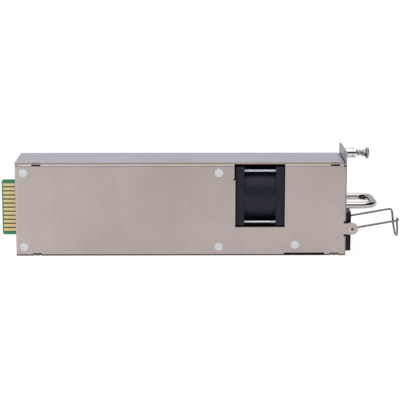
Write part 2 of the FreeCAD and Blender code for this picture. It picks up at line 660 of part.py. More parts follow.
def fan_frame():
    """Moulded housing: two square flanges joined by a barrel, with the motor's hub on five struts."""
    body = new_body("fan_frame")
    half = "fan_size / 2"
    pad(body, "YZ_Plane", "0", "fan_length", [rectangle((f"-{half}", f"-{half}"), (half, half))])
    edge = size("fan_size") / 2
    corners = [Vector(0, side * edge, level * edge) for side in (-1, 1) for level in (-1, 1)]
    rounded(body, "fan_corner", [(X_AXIS, corners)])
    clear = f"({half} + sheet)"
    waist = pocket(body, "YZ_Plane", "fan_length - fan_flange", "fan_length - 2 * fan_flange", [
        rectangle((f"-{clear}", f"-{clear}"), (clear, clear)),
    ], [("0", "0", f"{half} - fan_waist")])
    waist.Refine = True
    pocket(body, "YZ_Plane", "fan_length", "fan_length", circles=[("0", "0", "fan_bore")])
    hole = "fan_screw + fan_screw_play"
    holes = [(f"{side}fan_hole", f"{level}fan_hole", hole) for side in ("", "-") for level in ("", "-")]
    pocket(body, "YZ_Plane", "fan_length", "fan_length", circles=holes)
    strut = pad(body, "YZ_Plane", "fan_length - fan_hub_length", "fan_hub_length", [
        rectangle(("-fan_strut / 2", "fan_hub - sheet"), ("fan_strut / 2", "fan_bore + fan_wall / 2")),
    ])
    around(body, strut, "fan_strut_count")
    pad(body, "YZ_Plane", "fan_length - fan_hub_length", "fan_hub_length", circles=[("0", "0", "fan_hub")])
    bearing = ("0", "0", "fan_shaft + shaft_play")
    pocket(body, "YZ_Plane", "fan_length - sheet", "fan_length", circles=[bearing])
    place(body, "fan_rear", "0", "fan_level")
    return keep(body, "fan_frame")


def fan_rotor():
    """Hub cup with raked, cambered blades, open towards the motor."""
    body = new_body("fan_rotor")
    pad(body, "YZ_Plane", "rotor_recess", "rotor_length", circles=[("0", "0", "rotor_hub")])
    cup = ("0", "0", "rotor_hub - rotor_wall")
    pocket(body, "YZ_Plane", "rotor_recess + rotor_length", "rotor_length - rotor_wall", circles=[cup])
    middle = "(rotor_recess + rotor_length / 2)"
    entry, exit_edge = f"{middle} - blade_chord / 2", f"{middle} + blade_chord / 2"
    root = "(rotor_hub - blade_root)"
    blade = pad(body, "XY_Plane", root, f"fan_bore - rotor_tip_gap - {root}", [[
        (entry, "-blade_rise"), (middle, "-blade_camber"), (exit_edge, "blade_rise"),
        (exit_edge, "blade_rise - blade"), (middle, "-blade_camber - 1.4 * blade"),
        (entry, "-blade_rise - blade"),
    ]])
    around(body, blade, "blade_count")
    place(body, "fan_rear", "0", "fan_level")
    return keep(body, "fan_rotor")


def around(body, original, occurrences):
    """Copies of a feature, evenly round the body's own X axis."""
    pattern = body.newObject("PartDesign::PolarPattern", f"{body.Name}_round")
    pattern.Originals = [original]
    pattern.Axis = (next(item for item in body.Origin.OriginFeatures if item.Role == "X_Axis"), [""])
    pattern.Angle = 360
    body.Tip = pattern
    return bind(pattern, Occurrences=occurrences)


def fan_inner_parts():
    """Shaft pressed into the rotor, the wound stator on the hub, the bracket and the long screws."""
    cup_floor = "fan_rear + rotor_recess + rotor_wall"
    shaft_length = "rotor_length - rotor_wall + rotor_gap + fan_hub_length - sheet - bail_gap"
    keep(rod("fan_shaft", "fan_shaft", shaft_length, cup_floor, "0", "fan_level", "X"), "fan_shaft")
    seat = ("fan_front - fan_hub_length - rotor_length / 2", "0", "fan_level", "X")
    keep(ring("fan_stator", "stator_radius", "2 * fan_shaft", "rotor_length / 2", *seat), "fan_stator")
    fan_bracket()
    screws = []
    for side in ("", "-"):
        for level in ("+", "-"):
            screws.append(turned(f"fan_screw_{len(screws)}", [
                ("-fan_screw", "0"), ("-fan_screw", "fan_screw_head"),
                ("0", "fan_screw_head"), ("0", "fan_screw"),
                ("fan_length + fan_bracket + sheet", "fan_screw"), ("fan_length + fan_bracket + sheet", "0"),
            ], "fan_rear", f"{side}fan_hole", f"fan_level {level} fan_hole"))
    keep(together("fan_screws", screws), "fan_screws")


def fan_bracket():
    """Sheet bracket in front of the fan, with a round air opening and a foot on the far side of the case."""
    body = new_body("fan_bracket")
    half, low, high = "fan_size / 2", "strip_height + sheet", "case_height - 3 * sheet"
    pad(body, "YZ_Plane", "0", "fan_bracket", [rectangle((f"-{half} + 2 * sheet", low), (half, high))])
    pad(body, "XZ_Plane", f"-{half}", "fan_bracket", [rectangle(("0", low), ("bracket_foot", high))])
    opening = ("0", "fan_level", "fan_bore - fan_wall")
    pocket(body, "YZ_Plane", "fan_bracket", "fan_bracket", circles=[opening])
    pocket(body, "YZ_Plane", "fan_bracket", "fan_bracket", circles=[
        (f"{side}fan_hole", f"fan_level {level} fan_hole", "fan_screw")
        for side in ("", "-")
        for level in ("+", "-")
    ])
    place(body, "fan_front", "0", "0")
    return keep(body, "fan_bracket")


# Front panel pieces

def inlet():
    """Moulded appliance inlet snapped into the panel, with three flat blades and their rear terminals."""
    body = new_body("inlet_housing")
    wide, high = "inlet_width / 2", "inlet_height / 2"
    pad(body, "YZ_Plane", "front_end", "inlet_flange", [
        rectangle((f"-{wide}", f"inlet_level - {high}"), (wide, f"inlet_level + {high}")),
    ])
    face, middle = size("case_length") / 2, size("inlet_level")
    across, up = size("inlet_width") / 2, size("inlet_height") / 2
    corners = [Vector(face, side * across, middle + level * up) for side in (-1, 1) for level in (-1, 1)]
    rounded(body, "inlet_corner", [(X_AXIS, corners)])
    wide, high = "inlet_body_width / 2", "inlet_body_height / 2"
    outside = hexagon(wide, high, "socket_bevel")
    pad(body, "YZ_Plane", "front_end", "inlet_body_depth", [outside], reverse=True)
    wide, high = "socket_width / 2", "socket_height / 2"
    inside = hexagon(wide, high, "socket_bevel")
    pocket(body, "YZ_Plane", "front_end + inlet_flange", "socket_depth", [inside])
    blades = blade_places()
    back = "(front_end - inlet_body_depth)"
    pocket(body, "YZ_Plane", "front_end", "inlet_body_depth", [
        rectangle(
            (f"{y} - blade_width / 2", f"{z} - blade_height / 2"),
            (f"{y} + blade_width / 2", f"{z} + blade_height / 2"),
        )
        for y, z in blades
    ])
    keep(body, "inlet_housing")
    pins = []
    for number, (y, z) in enumerate(blades):
        low = f"{z} - blade_height / 2"
        blade = box(f"blade_{number}", (back, f"{y} - blade_width / 2", low),
                    ("inlet_body_depth + inlet_flange - blade_recess", "blade_width", "blade_height"))
        tag = box(f"terminal_{number}", (f"{back} - terminal_reach", f"{y} - terminal / 2", low),
                  ("terminal_reach", "terminal", "blade_height"))
        pins.append(fused(f"pin_{number}", [blade, tag]))
    keep(together("inlet_pins", pins), "inlet_pins")


def blade_places():
    """Middles of the live, neutral and earth blades, seen from the front."""
    line = "(inlet_level - blade_offset)"
    return [("-blade_side", line), ("blade_side", line), ("0", "(inlet_level + blade_offset)")]


def hexagon(wide, high, bevel):
    """The inlet's outline: a rectangle with its two upper corners cut off."""
    top = f"inlet_level + {high}"
    return [
        (f"-{wide}", f"inlet_level - {high}"), (wide, f"inlet_level - {high}"), (wide, f"{top} - {bevel}"),
        (f"{wide} - {bevel}", top), (f"-{wide} + {bevel}", top), (f"-{wide}", f"{top} - {bevel}"),
    ]


def handle():
    """Bent rod handle, tapped at both ends and held by a screw through the panel at each."""
    span, reach = size("handle_side"), size("handle_reach")
    face, level, bend = size("case_length") / 2, size("handle_level"), size("handle_bend")
    points = [Vector(face, -span, level), Vector(face + reach, -span, level),
              Vector(face + reach, span, level), Vector(face, span, level)]
    bar = swept(bent_path(points, [bend, bend]), size("handle_rod"))
    screws = []
    for side in (-1, 1):
        end = Vector(face, side * span, level)
        bar = bar.cut(Part.makeCylinder(size("handle_screw"), size("handle_screw_grip"), end, X_AXIS))
        screws.append(turned(f"handle_screw_{len(screws)}", [
            ("-2 * sheet", "0"), ("-2 * sheet", "handle_screw_head"),
            ("-sheet", "handle_screw_head"), ("-sheet", "handle_screw"),
            ("handle_screw_grip", "handle_screw"), ("handle_screw_grip", "0"),
        ], "front_end", f"{side} * handle_side", "handle_level"))
    keep(shaped("pull_handle", bar), "pull_handle")
    keep(together("handle_screws", screws), "handle_screws")


def retention_bail():
    """Bent wire that swings over the plug: two arms from the ears and a half-round saddle for the cord."""
    pivot = Vector(size("pivot_reach"), 0, size("pivot_level"))
    rise, lean = math.radians(size("bail_rise")), math.radians(size("bail_lean"))
    outward = Vector(math.cos(rise), 0, math.sin(rise))
    down = Vector(math.sin(lean), 0, -math.cos(lean))
    side, saddle, drop, bend = size("bail_side"), size("bail_saddle"), size("bail_drop"), size("bail_bend")
    corner = pivot + outward * size("bail_arm")
    ear_face = size("case_depth") / 2
    shoulder = saddle - bend
    quarter = [(-shoulder, 0), (-shoulder, drop), (shoulder, drop), (shoulder, 0)]
    points = [pivot - Y_AXIS * ear_face, pivot - Y_AXIS * side, corner - Y_AXIS * side]
    points += [corner + Y_AXIS * across + down * fall for across, fall in quarter]
    points += [corner + Y_AXIS * side, pivot + Y_AXIS * side, pivot + Y_AXIS * ear_face]
    turn = 1.1 * size("bail_wire")
    round_end = shoulder * 0.98
    radii = [turn, bend, bend, round_end, round_end, bend, bend, turn]
    wire = swept(bent_path(points, radii), size("bail_wire"), 12)
    for direction in (-1, 1):
        outwards = Y_AXIS * direction
        start = pivot + outwards * ear_face
        head = Part.makeCylinder(size("bail_head"), size("bail_head_height"), start, outwards)
        wire = wire.fuse(head)
    keep(shaped("retention_bail", wire), "retention_bail")


def captive_screw():
    """Ferrule clinched into the tab, the spring that pushes the screw out, and the screw it holds captive."""
    seat = ("front_end", "screw_side", "screw_level")
    groove = "ferrule_reach - ferrule_groove_at"
    keep(turned("screw_ferrule", [
        ("-sheet", "ferrule_bore"), ("-sheet", "ferrule_spigot"),
        ("0", "ferrule_spigot"), ("0", "ferrule_radius"), (groove, "ferrule_radius"),
        (f"{groove} + ferrule_groove", "ferrule_radius - ferrule_groove"),
        (f"{groove} + 2 * ferrule_groove", "ferrule_radius"),
        ("ferrule_reach - ferrule_groove", "ferrule_radius"),
        ("ferrule_reach", "ferrule_radius - ferrule_groove"), ("ferrule_reach", "ferrule_cup"),
        ("web_front", "ferrule_cup"), ("web_front", "screw_shank + screw_play"),
        ("web_rear", "screw_shank + screw_play"), ("web_rear", "ferrule_bore"),
    ], *seat), "screw_ferrule")
    under_head, thread_end = "ferrule_reach + screw_stroke + screw_play", "web_rear - 2 * screw_play"
    tip, chamfer = f"{thread_end} - screw_thread_length", "(screw_thread - screw_shank)"
    head_face = f"{under_head} + screw_head_height"
    body = turned("captive_screw", [
        (tip, "0"), (tip, "screw_shank"),
        (f"{tip} + {chamfer}", "screw_thread"), (thread_end, "screw_thread"), (thread_end, "screw_shank"),
        (under_head, "screw_shank"), (under_head, "screw_neck"),
        (f"{under_head} + screw_head_height / 2", "screw_head"),
        (f"{under_head} + 0.8 * screw_head_height", "screw_head"),
        (head_face, "0.75 * screw_head"), (head_face, "0"),
    ], *seat)
    arm, half = "screw_head * 0.55", "screw_recess / 2"
    pocket(body, "YZ_Plane", head_face, "screw_recess * 1.2", [[
        (f"-{arm}", f"-{half}"), (f"-{half}", f"-{half}"), (f"-{half}", f"-{arm}"),
        (half, f"-{arm}"), (half, f"-{half}"), (arm, f"-{half}"),
        (arm, half), (half, half), (half, arm),
        (f"-{half}", arm), (f"-{half}", half), (f"-{arm}", half),
    ]])
    keep(body, "captive_screw")
    length = size("ferrule_cup_depth") + size("screw_stroke") - 2 * size("spring_wire")
    helix = Part.makeHelix(length / size("spring_turns"), length, size("spring_radius"))
    section = wire_section(Vector(size("spring_radius"), 0, 0), Y_AXIS, size("spring_wire"), 6)
    spring = shaped("screw_spring", Part.Wire(helix.Edges).makePipeShell([section], True, True))
    spring.Placement = Placement(Vector(), Rotation(Y_AXIS, 90))
    bind(spring, Placement__Base__x="front_end + web_front + spring_wire + screw_play / 2",
         Placement__Base__y="screw_side", Placement__Base__z="screw_level")
    keep(spring, "screw_spring")


def light_pipe():
    """Clear pipe that carries the status light from the panel's back to a domed end at its face."""
    collar = "light_radius + light_dome / 2"
    keep(turned("status_light_pipe", [
        ("-light_length", "0"), ("-light_length", collar), ("-sheet", collar), ("-sheet", "light_radius"),
        ("light_dome / 4", "light_radius"), ("0.8 * light_dome", "light_radius * 0.6"), ("light_dome", "0"),
    ], "front_end", "light_side", "light_level"), "status_light_pipe")


# Electronics on the board

def capacitor(name, radius, length, x, y, z, axis):
    """Aluminium can with a rolled groove near its lead end."""
    groove = f"{radius} / 12"
    return turned(name, [
        ("0", "0"), ("0", radius), ("can_collar", radius),
        (f"can_collar + {groove}", f"{radius} - {groove}"), (f"can_collar + 2 * {groove}", radius),
        (f"{length} - can_edge", radius), (length, f"{radius} - can_edge"), (length, "0"),
    ], x, y, z, axis)


def wound_ring(name, x, z):
    """Ring core on edge and the turns of enamelled wire round it, as two nodes."""
    label, turns = RINGS[name]
    radius, hole, width, wire = f"{name}_radius", f"{name}_hole", f"{name}_width", f"{name}_wire"
    y = f"(board_top + {radius} + {wire} + turn_gap)"
    keep(ring(f"{label}_core", radius, hole, width, f"{x} - {width} / 2", y, z, "X"), f"{label}_core")
    loops = []
    for number in range(turns):
        angle = math.radians(FIRST_TURN + number * TURN_SPREAD / (turns - 1))
        across, up = math.cos(angle), math.sin(angle)
        parts = []
        for kind, slack in (("outside", wire), ("inside", "0")):
            inner = f"({hole} - turn_gap - {slack})"
            depth = f"{radius} + turn_gap + {slack} - {inner}"
            block = doc.addObject("Part::Box", f"{label}_{kind}_{number}")
            bind(block, Length=f"{width} + 2 * {slack}", Width=depth, Height=wire)
            block.Placement = Placement(Vector(), Rotation(X_AXIS, math.degrees(angle)))
            bind(block, Placement__Base__x=f"{x} - {width} / 2 - {slack}",
                 Placement__Base__y=f"{y} + {inner} * {across:.5f} + {wire} / 2 * {up:.5f}",
                 Placement__Base__z=f"{z} + {inner} * {up:.5f} - {wire} / 2 * {across:.5f}")
            parts.append(block)
        loops.append(cut(f"{label}_turn_{number}", *parts))
    keep(together(f"{label}_winding", loops), f"{label}_winding")


def main_transformer():
    """Ferrite core in two halves round a bobbin with its windings."""
    left, low = "core_x - core_width / 2", "core_level - core_height / 2"
    outside = box("core_outside", (left, "board_top", low), ("core_width", "core_depth", "core_height"))
    opening = box("core_opening", (f"{left} + core_leg", "board_top", f"{low} + core_leg"),
                  ("core_width - 2 * core_leg", "core_depth", "post_length"))
    seat = ("core_x", "board_top + core_depth / 2", f"{low} + core_leg", "Z")
    post = rod("core_post", "coil_radius / 2", "post_length", *seat)
    keep(fused("transformer_core", [cut("core_frame", outside, opening), post]), "transformer_core")
    flange, tube = "core_width / 2 - core_leg - bobbin_gap", "coil_radius / 2 + bobbin"
    keep(turned("transformer_bobbin", [
        ("bobbin_gap", "coil_radius / 2"), ("bobbin_gap", flange), ("bobbin", flange), ("bobbin", tube),
        ("post_length - bobbin", tube), ("post_length - bobbin", flange),
        ("post_length - bobbin_gap", flange), ("post_length - bobbin_gap", "coil_radius / 2"),
    ], *seat), "transformer_bobbin")
    keep(turned("transformer_coil", [
        ("bobbin", tube), ("bobbin", "coil_radius"),
        ("post_length - bobbin", "coil_radius"), ("post_length - bobbin", tube),
    ], *seat), "transformer_coil")


def heat_sink(name, start, length):
    """Extruded aluminium plate standing on the board, with fins along its upper face."""
    body = new_body(name)
    end = f"{start} + {length}"
    plate = rectangle((start, "sink_level"), (end, "sink_level + sink"))
    pad(body, "XZ_Plane", "-(board_top + sink_depth)", "sink_depth", [plate])
    fin = rectangle((start, "board_top"), (end, "board_top + fin"))
    rib = pad(body, "XY_Plane", "sink_level + sink", "fin_drop", [fin])
    repeated(body, rib, "V_Axis", "fin_pitch * (fin_count - 1)", "fin_count")
    return keep(body, name)


def flat_packs(name, lows, extent, legs):
    """Flat power packages that stand on the board by their legs."""
    width, height, thickness = extent
    solids = []
    for number, (x, level) in enumerate(lows):
        parts = [box(f"{name}_{number}", (x, "board_top + leg_length", level), (width, height, thickness))]
        for leg in range(legs):
            across = f"{x} + {leg + 1} * {width} / {legs + 1} - leg / 2"
            foot = (across, "board_top", f"{level} + {thickness} / 2")
            parts.append(box(f"{name}_{number}_leg_{leg}", foot, ("leg", "leg_length", "leg")))
        solids.append(fused(f"{name}_{number}_whole", parts))
    return keep(together(name, solids), name)


def spread(start, length, count):
    """Left edges of packages spaced evenly under a heat sink."""
    free = f"({length} - chip_width - 2 * chip_margin)"
    lefts = [f"{start} + chip_margin + {number} * {free} / {count - 1}" for number in range(count)]
    return [(left, "chip_level") for left in lefts]


def electronics():
    """The converter's main parts, each seated on the board."""
    seat = ("bulk_x", "board_top + bulk_radius", "bulk_start", "Z")
    keep(capacitor("bulk_capacitor", "bulk_radius", "bulk_length", *seat), "bulk_capacitor")
    cans = []
    for number in range(int(size("outcap_count"))):
        seat = ("outcap_x", "board_top", f"outcap_low + {number} * outcap_pitch", "Y")
        cans.append(capacitor(f"output_can_{number}", "outcap_radius", "outcap_length", *seat))
    keep(together("output_capacitors", cans), "output_capacitors")
    main_transformer()
    heat_sink("primary_heat_sink", "primary_start", "primary_length")
    heat_sink("secondary_heat_sink", "secondary_start", "secondary_length")
    pack = ("chip_width", "chip_height", "chip")
    flat_packs("power_transistors", spread("primary_start", "primary_length", 4), pack, 3)
    flat_packs("output_rectifiers", spread("secondary_start", "secondary_length", 2), pack, 3)
    bridge = ("bridge_width", "bridge_height", "chip")
    flat_packs("bridge_rectifier", [("bridge_x", "bridge_level")], bridge, 4)
    wound_ring("boost", "boost_x", "boost_level")
    wound_ring("outcoil", "outcoil_x", "outcoil_level")
    wound_ring("choke", "(fan_rear + choke_inset)", "strip_level")
    filter_and_fuse()
    keep(box("standby_transformer", ("standby_x", "board_top", "chip_level - chip_margin - standby_height"),
             ("standby_size", "standby_size", "standby_height")), "standby_transformer")
    keep(box("control_board", ("control_x", "board_top", "control_level"),
             ("board", "control_width", "control_height")), "control_board")
    middle = "control_level + control_height / 2"
    keep(box("control_chip", ("control_x - chip_small_height", "board_top + chip_rise", middle),
             ("chip_small_height", "chip_small", "chip_small")), "control_chip")
    keep(box("fan_header", ("board_step - header - header_gap", "board_top", "header_level"),
             ("header", "header_height", "1.4 * header")), "fan_header")


def filter_and_fuse():
    """Mains filter parts on the strip under the fan, and the glass fuse with its end caps."""
    keep(box("x_capacitor", ("fan_rear + xcap_inset", "board_top", "strip_level - xcap_width / 2"),
             ("xcap_length", "xcap_height", "xcap_width")), "x_capacitor")
    discs = [rod(f"y_disc_{number}", "ycap_radius", "ycap", f"fan_rear + ycap_inset + {number} * ycap_pitch",
                 "board_top + ycap_radius", "strip_level", "X") for number in (0, 1)]
    keep(together("y_capacitors", discs), "y_capacitors")
    caps = [rod(f"fuse_cap_{end}", "fuse_radius", "fuse_cap", "fuse_x", "fuse_y", level, "Z")
            for end, level in (("low", "fuse_level"), ("high", "fuse_level + fuse_length - fuse_cap"))]
    seat = ("fuse_x", "fuse_y", "fuse_level + fuse_cap", "Z")
    glass = rod("fuse_glass", "fuse_radius - fuse_step", "fuse_length - 2 * fuse_cap", *seat)
    keep(fused("mains_fuse", [*caps, glass]), "mains_fuse")


base_chassis()
outer_cover()
standoffs_and_screws()
main_board()
gold_fingers()
insulating_film()
fan_frame()
fan_rotor()
fan_inner_parts()
inlet()
handle()
retention_bail()
captive_screw()
light_pipe()
electronics()
doc.recompute()

for item in doc.Objects:
    if "Invalid" in item.State or "Error" in item.State:
        raise RuntimeError(f"{item.Label} is {item.State}")
    if item.TypeId == "PartDesign::Pocket" and item.Shape.Volume > item.BaseFeature.Shape.Volume - TOUCHING:
        raise RuntimeError(f"{item.Label} cuts nothing")
for item in subparts:
    if item.Shape.isNull() or not item.Shape.isValid():
        raise RuntimeError(f"{item.Label} has no valid shape")

os.makedirs("parts", exist_ok=True)
for item in subparts:
    item.Shape.exportStep(f"parts/{item.Label}.step")
print(len(subparts), "sub-parts")
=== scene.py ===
import json
import math

import bmesh
import bpy
from mathutils import Matrix, Vector


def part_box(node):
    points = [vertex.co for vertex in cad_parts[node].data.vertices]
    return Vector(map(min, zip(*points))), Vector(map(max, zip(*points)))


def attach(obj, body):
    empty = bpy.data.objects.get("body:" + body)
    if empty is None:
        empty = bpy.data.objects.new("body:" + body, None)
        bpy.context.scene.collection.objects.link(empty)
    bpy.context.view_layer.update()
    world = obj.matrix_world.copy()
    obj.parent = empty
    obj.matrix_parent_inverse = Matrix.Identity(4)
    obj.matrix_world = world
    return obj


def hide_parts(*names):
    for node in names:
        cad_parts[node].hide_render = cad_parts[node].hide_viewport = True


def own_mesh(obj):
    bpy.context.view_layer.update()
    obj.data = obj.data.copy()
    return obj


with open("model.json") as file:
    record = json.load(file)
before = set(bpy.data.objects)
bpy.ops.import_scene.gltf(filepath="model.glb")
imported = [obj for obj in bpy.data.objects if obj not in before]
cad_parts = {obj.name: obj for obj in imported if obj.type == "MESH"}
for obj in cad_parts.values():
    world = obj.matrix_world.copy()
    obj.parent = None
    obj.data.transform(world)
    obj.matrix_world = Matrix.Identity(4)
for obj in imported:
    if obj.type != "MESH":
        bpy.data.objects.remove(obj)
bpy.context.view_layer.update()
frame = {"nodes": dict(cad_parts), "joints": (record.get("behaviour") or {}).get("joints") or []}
nodes = frame["nodes"]
joints = {joint["name"]: joint for joint in frame["joints"]}


# Case. The chassis and its U-shaped cover are bent from 1 mm zinc plated steel, satin and slightly
# clouded. They hook together by snap dimples pressed into the cover, whose sheared edge shows as a
# thin bare line along the near corners.

MM = 0.001

chassis_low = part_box("base_chassis")[0]
cover_low, cover_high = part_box("outer_cover")
pivot = Vector(joints["retainer_swing"]["pos_m"])


class Shade:
    """A material's nodes, and one output among them: arithmetic on it adds the Math nodes."""

    def __init__(self, tree, socket=None):
        self.tree, self.socket = tree, socket

    def node(self, kind, settings, inputs, output=0):
        """A node of any kind: its settings first, then values or links for its sockets."""
        made = self.tree.nodes.new("ShaderNode" + kind)
        for name, value in settings.items():
            setattr(made, name, value)
        for name, value in inputs.items():
            if isinstance(value, Shade):
                self.tree.links.new(value.socket, made.inputs[name])
            else:
                made.inputs[name].default_value = value
        return Shade(self.tree, made.outputs[output] if len(made.outputs) else None)

    def maths(self, operation, first, second):
        return self.node("Math", {"operation": operation}, {0: first, 1: second})

    def __add__(self, other):
        return self.maths("ADD", self, other)

    def __sub__(self, other):
        return self.maths("SUBTRACT", self, other)

    def __rsub__(self, other):
        return self.maths("SUBTRACT", other, self)

    def __mul__(self, other):
        return self.maths("MULTIPLY", self, other)

    def __truediv__(self, other):
        return self.maths("DIVIDE", self, other)

    def __abs__(self):
        return self.maths("ABSOLUTE", self, 0)

    __radd__ = __add__
    __rmul__ = __mul__

    def clamped(self):
        return self.node("Clamp", {}, {0: self})

    def along(self, axis, space="Object"):
        """The distance along an axis, in metres on a piece, or a share of the way in the world."""
        return self.node("SeparateXYZ", {}, {0: self.node("TexCoord", {}, {}, space)}, axis)

    def below(self, value, limit, blend):
        """1 where a distance is under a limit, 0 above it, with a soft edge."""
        return ((limit - value) / blend + 0.5).clamped()

    def band(self, axis, place, reach, blend):
        """1 within a reach of a place along an axis, 0 further off, with a soft edge."""
        return self.below(abs(self.along(axis) - place), reach, blend)

    def at(self, stretch=(1, 1, 1)):
        """The place on the piece in metres: under 1, an axis's stretch draws a texture out along it."""
        place = self.node("TexCoord", {}, {}, "Object")
        return self.node("Mapping", {}, {"Vector": place, "Scale": stretch})

    def noise(self, scale, detail, stretch=(1, 1, 1), rough=0.5):
        """Noise from 0 to 1, finer as its scale grows."""
        sockets = {"Vector": self.at(stretch), "Scale": scale, "Detail": detail, "Roughness": rough}
        return self.node("TexNoise", {}, sockets)

    def between(self, factor, low, high):
        """A colour between two, by a factor. A Mix node's colours are its sockets 6, 7 and, out, 2."""
        return self.node("Mix", {"data_type": "RGBA"}, {"Factor": factor, 6: low, 7: high}, 2)

    def bump(self, height, strength, distance):
        return self.node("Bump", {}, {"Height": height, "Strength": strength, "Distance": distance})

    def surface(self, sockets):
        """Ends the material in a Principled shader, with values or links for its sockets."""
        self.node("OutputMaterial", {}, {"Surface": self.node("BsdfPrincipled", {}, sockets)})


def finish(name):
    """A new material, and its nodes to fill."""
    material = bpy.data.materials.new(name)
    material.use_nodes = True
    material.node_tree.nodes.clear()
    return material, Shade(material.node_tree)


def tint(red, green, blue):
    """A paint colour given as it looks, from 0 to 255, as the light it reflects."""
    def linear(value):
        value /= 255
        return value / 12.92 if value <= 0.04045 else ((value + 0.055) / 1.055) ** 2.4
    return (linear(red), linear(green), linear(blue), 1)


def wear(material, *pieces):
    """Gives pieces, or CAD nodes by their names, their material."""
    for piece in pieces:
        slots = (nodes[piece] if isinstance(piece, str) else piece).data.materials
        slots.clear()
        slots.append(material)


def rolled_sheet(skin, pale, deep, cloud):
    """Satin plated sheet: soft clouds, fine grain along the sheet, and a few faint handling marks.
    Returns its colour, its roughness and the height of its grain."""
    clouds = skin.noise(cloud, 4, rough=0.55)
    spots = skin.noise(420, 2, rough=0.6)
    streaks = skin.noise(120, 3, (1, 1, 0.12), 0.6)
    grain = skin.noise(900, 3, (0.06, 1, 1), 0.7)
    scuffs = skin.noise(60, 5, (0.25, 1, 1.2), 0.75)
    tone = clouds * 1.3 - 0.2 + (grain - 0.5) * 0.2 + (spots - 0.5) * 0.3 + (streaks - 0.5) * 0.35
    marks = ((scuffs - 0.62) * 9).clamped()
    rough = (0.40 + clouds * 0.08 + (grain - 0.5) * 0.12 - marks * 0.05).clamped()
    return skin.between(tone.clamped(), deep, pale), rough, grain * 0.5 + spots * 0.35 + clouds * 0.2


# The chassis's painted light and shade: how deep the near face's lighter tone reaches, where the
# darkened upper bend and the painted dark reflection line lie below the top, where the panel turns
# away, the notches above and below the ears, painted dark, and how far the middle's painted shade
# reaches.
NEAR_DEPTH, BEND_SHADE_DEPTH, REFLECTION_LINE_DEPTH, PANEL_LINE = 1.6 * MM, 1.7 * MM, 1.9 * MM, 1.35 * MM
EAR_BAND, NOTCH_BAND, NOTCH_REACH = 3.4 * MM, 4.7 * MM, 1.3 * MM
SHADED_MIDDLE_REACH, SHADED_MIDDLE_BLEND = 30 * MM, 140 * MM


def chassis_steel():
    """The chassis's sheet. Its large near face is painted lighter and a little warmer than the rest,
    whose darker copy is painted shade. The near face bears more painted shade: a darker middle, a
    darkened upper bend, a dark line below that bend that is a painted reflection of a dim horizon, a
    dark line where the panel turns away, and dark notches beside the ears."""
    material, skin = finish("plated_steel_chassis")
    lit_warm_face, rough, height = rolled_sheet(skin, tint(216, 204, 200), tint(194, 182, 178), 26)
    # Painted shade: the rest of the sheet is a darker copy of the near face's steel, which is painted
    # lighter.
    plain = rolled_sheet(skin, tint(164, 163, 166), tint(144, 143, 146), 34)[0]
    panel = cover_high.x + PANEL_LINE
    near = skin.below(skin.along("Y"), chassis_low.y + NEAR_DEPTH, 0.8 * MM)
    corner = skin.below(skin.along("Y"), chassis_low.y + 0.5 * MM, 0.3 * MM)
    # Painted shade: the middle of the near face is a little darker, for the way the light falls on it.
    middle_shade = skin.band("X", 0, SHADED_MIDDLE_REACH, SHADED_MIDDLE_BLEND)
    # Painted shade: the upper bend is darkened to tone down its highlight.
    bend = skin.below(cover_high.z - BEND_SHADE_DEPTH, skin.along("Z"), 0.3 * MM)
    # Painted reflection: a dark line below the upper bend stands for the dim horizon mirrored in it.
    dark_reflection_line = skin.band("Z", cover_high.z - REFLECTION_LINE_DEPTH, 0.25 * MM, 0.25 * MM)
    from_ear = abs(skin.along("Z") - pivot.z)
    beside_ear = skin.below(EAR_BAND, from_ear, 0.2 * MM)
    # Painted shade: a dark line along the near face's front edge, where the panel turns away, except at the
    # ear.
    turn_shade_line = skin.band("X", panel, 0.3 * MM, 0.2 * MM) * corner * beside_ear
    # Painted shade: the notches just above and below the ear are painted dark.
    notch_shade = skin.band("X", panel, NOTCH_REACH, 0.3 * MM) * beside_ear
    notch_shade = notch_shade * skin.below(from_ear, NOTCH_BAND, 0.3 * MM)
    # The near face's painted shade and painted reflection lines, mixed into its colour.
    shade_and_reflection = skin.between(dark_reflection_line * 0.5 + bend * 0.16 + middle_shade * 0.10, lit_warm_face, tint(112, 98, 90))
    shade_and_reflection = skin.between((turn_shade_line * 0.8 + notch_shade).clamped(), shade_and_reflection, tint(40, 31, 30))
    skin.surface({
        "Base Color": skin.between(near, plain, shade_and_reflection),
        "Metallic": 0.85,
        "Roughness": rough,
        "Normal": skin.bump(height, 0.10, 0.3 * MM),
    })
    return material


# The cover's painted shade: how far in the dimples lie, how deep they are painted darker and, deeper
# in, nearly black, how deep the sheared edge is, and the slot below the front, where that edge is
# painted nearly black.
DIMPLE_REACH, DIMPLE_SHADE_DEPTH, BLACK_SHADE_DEPTH = 4 * MM, 0.03 * MM, 1.3 * MM
SHEAR_DEPTH, UNDERSIDE = 0.2 * MM, 1.1 * MM
SLOT_INSET, SLOT_LENGTH, SLOT_LEVEL, SLOT_REACH = 36.45 * MM, 25 * MM, 0.85 * MM, 0.5 * MM


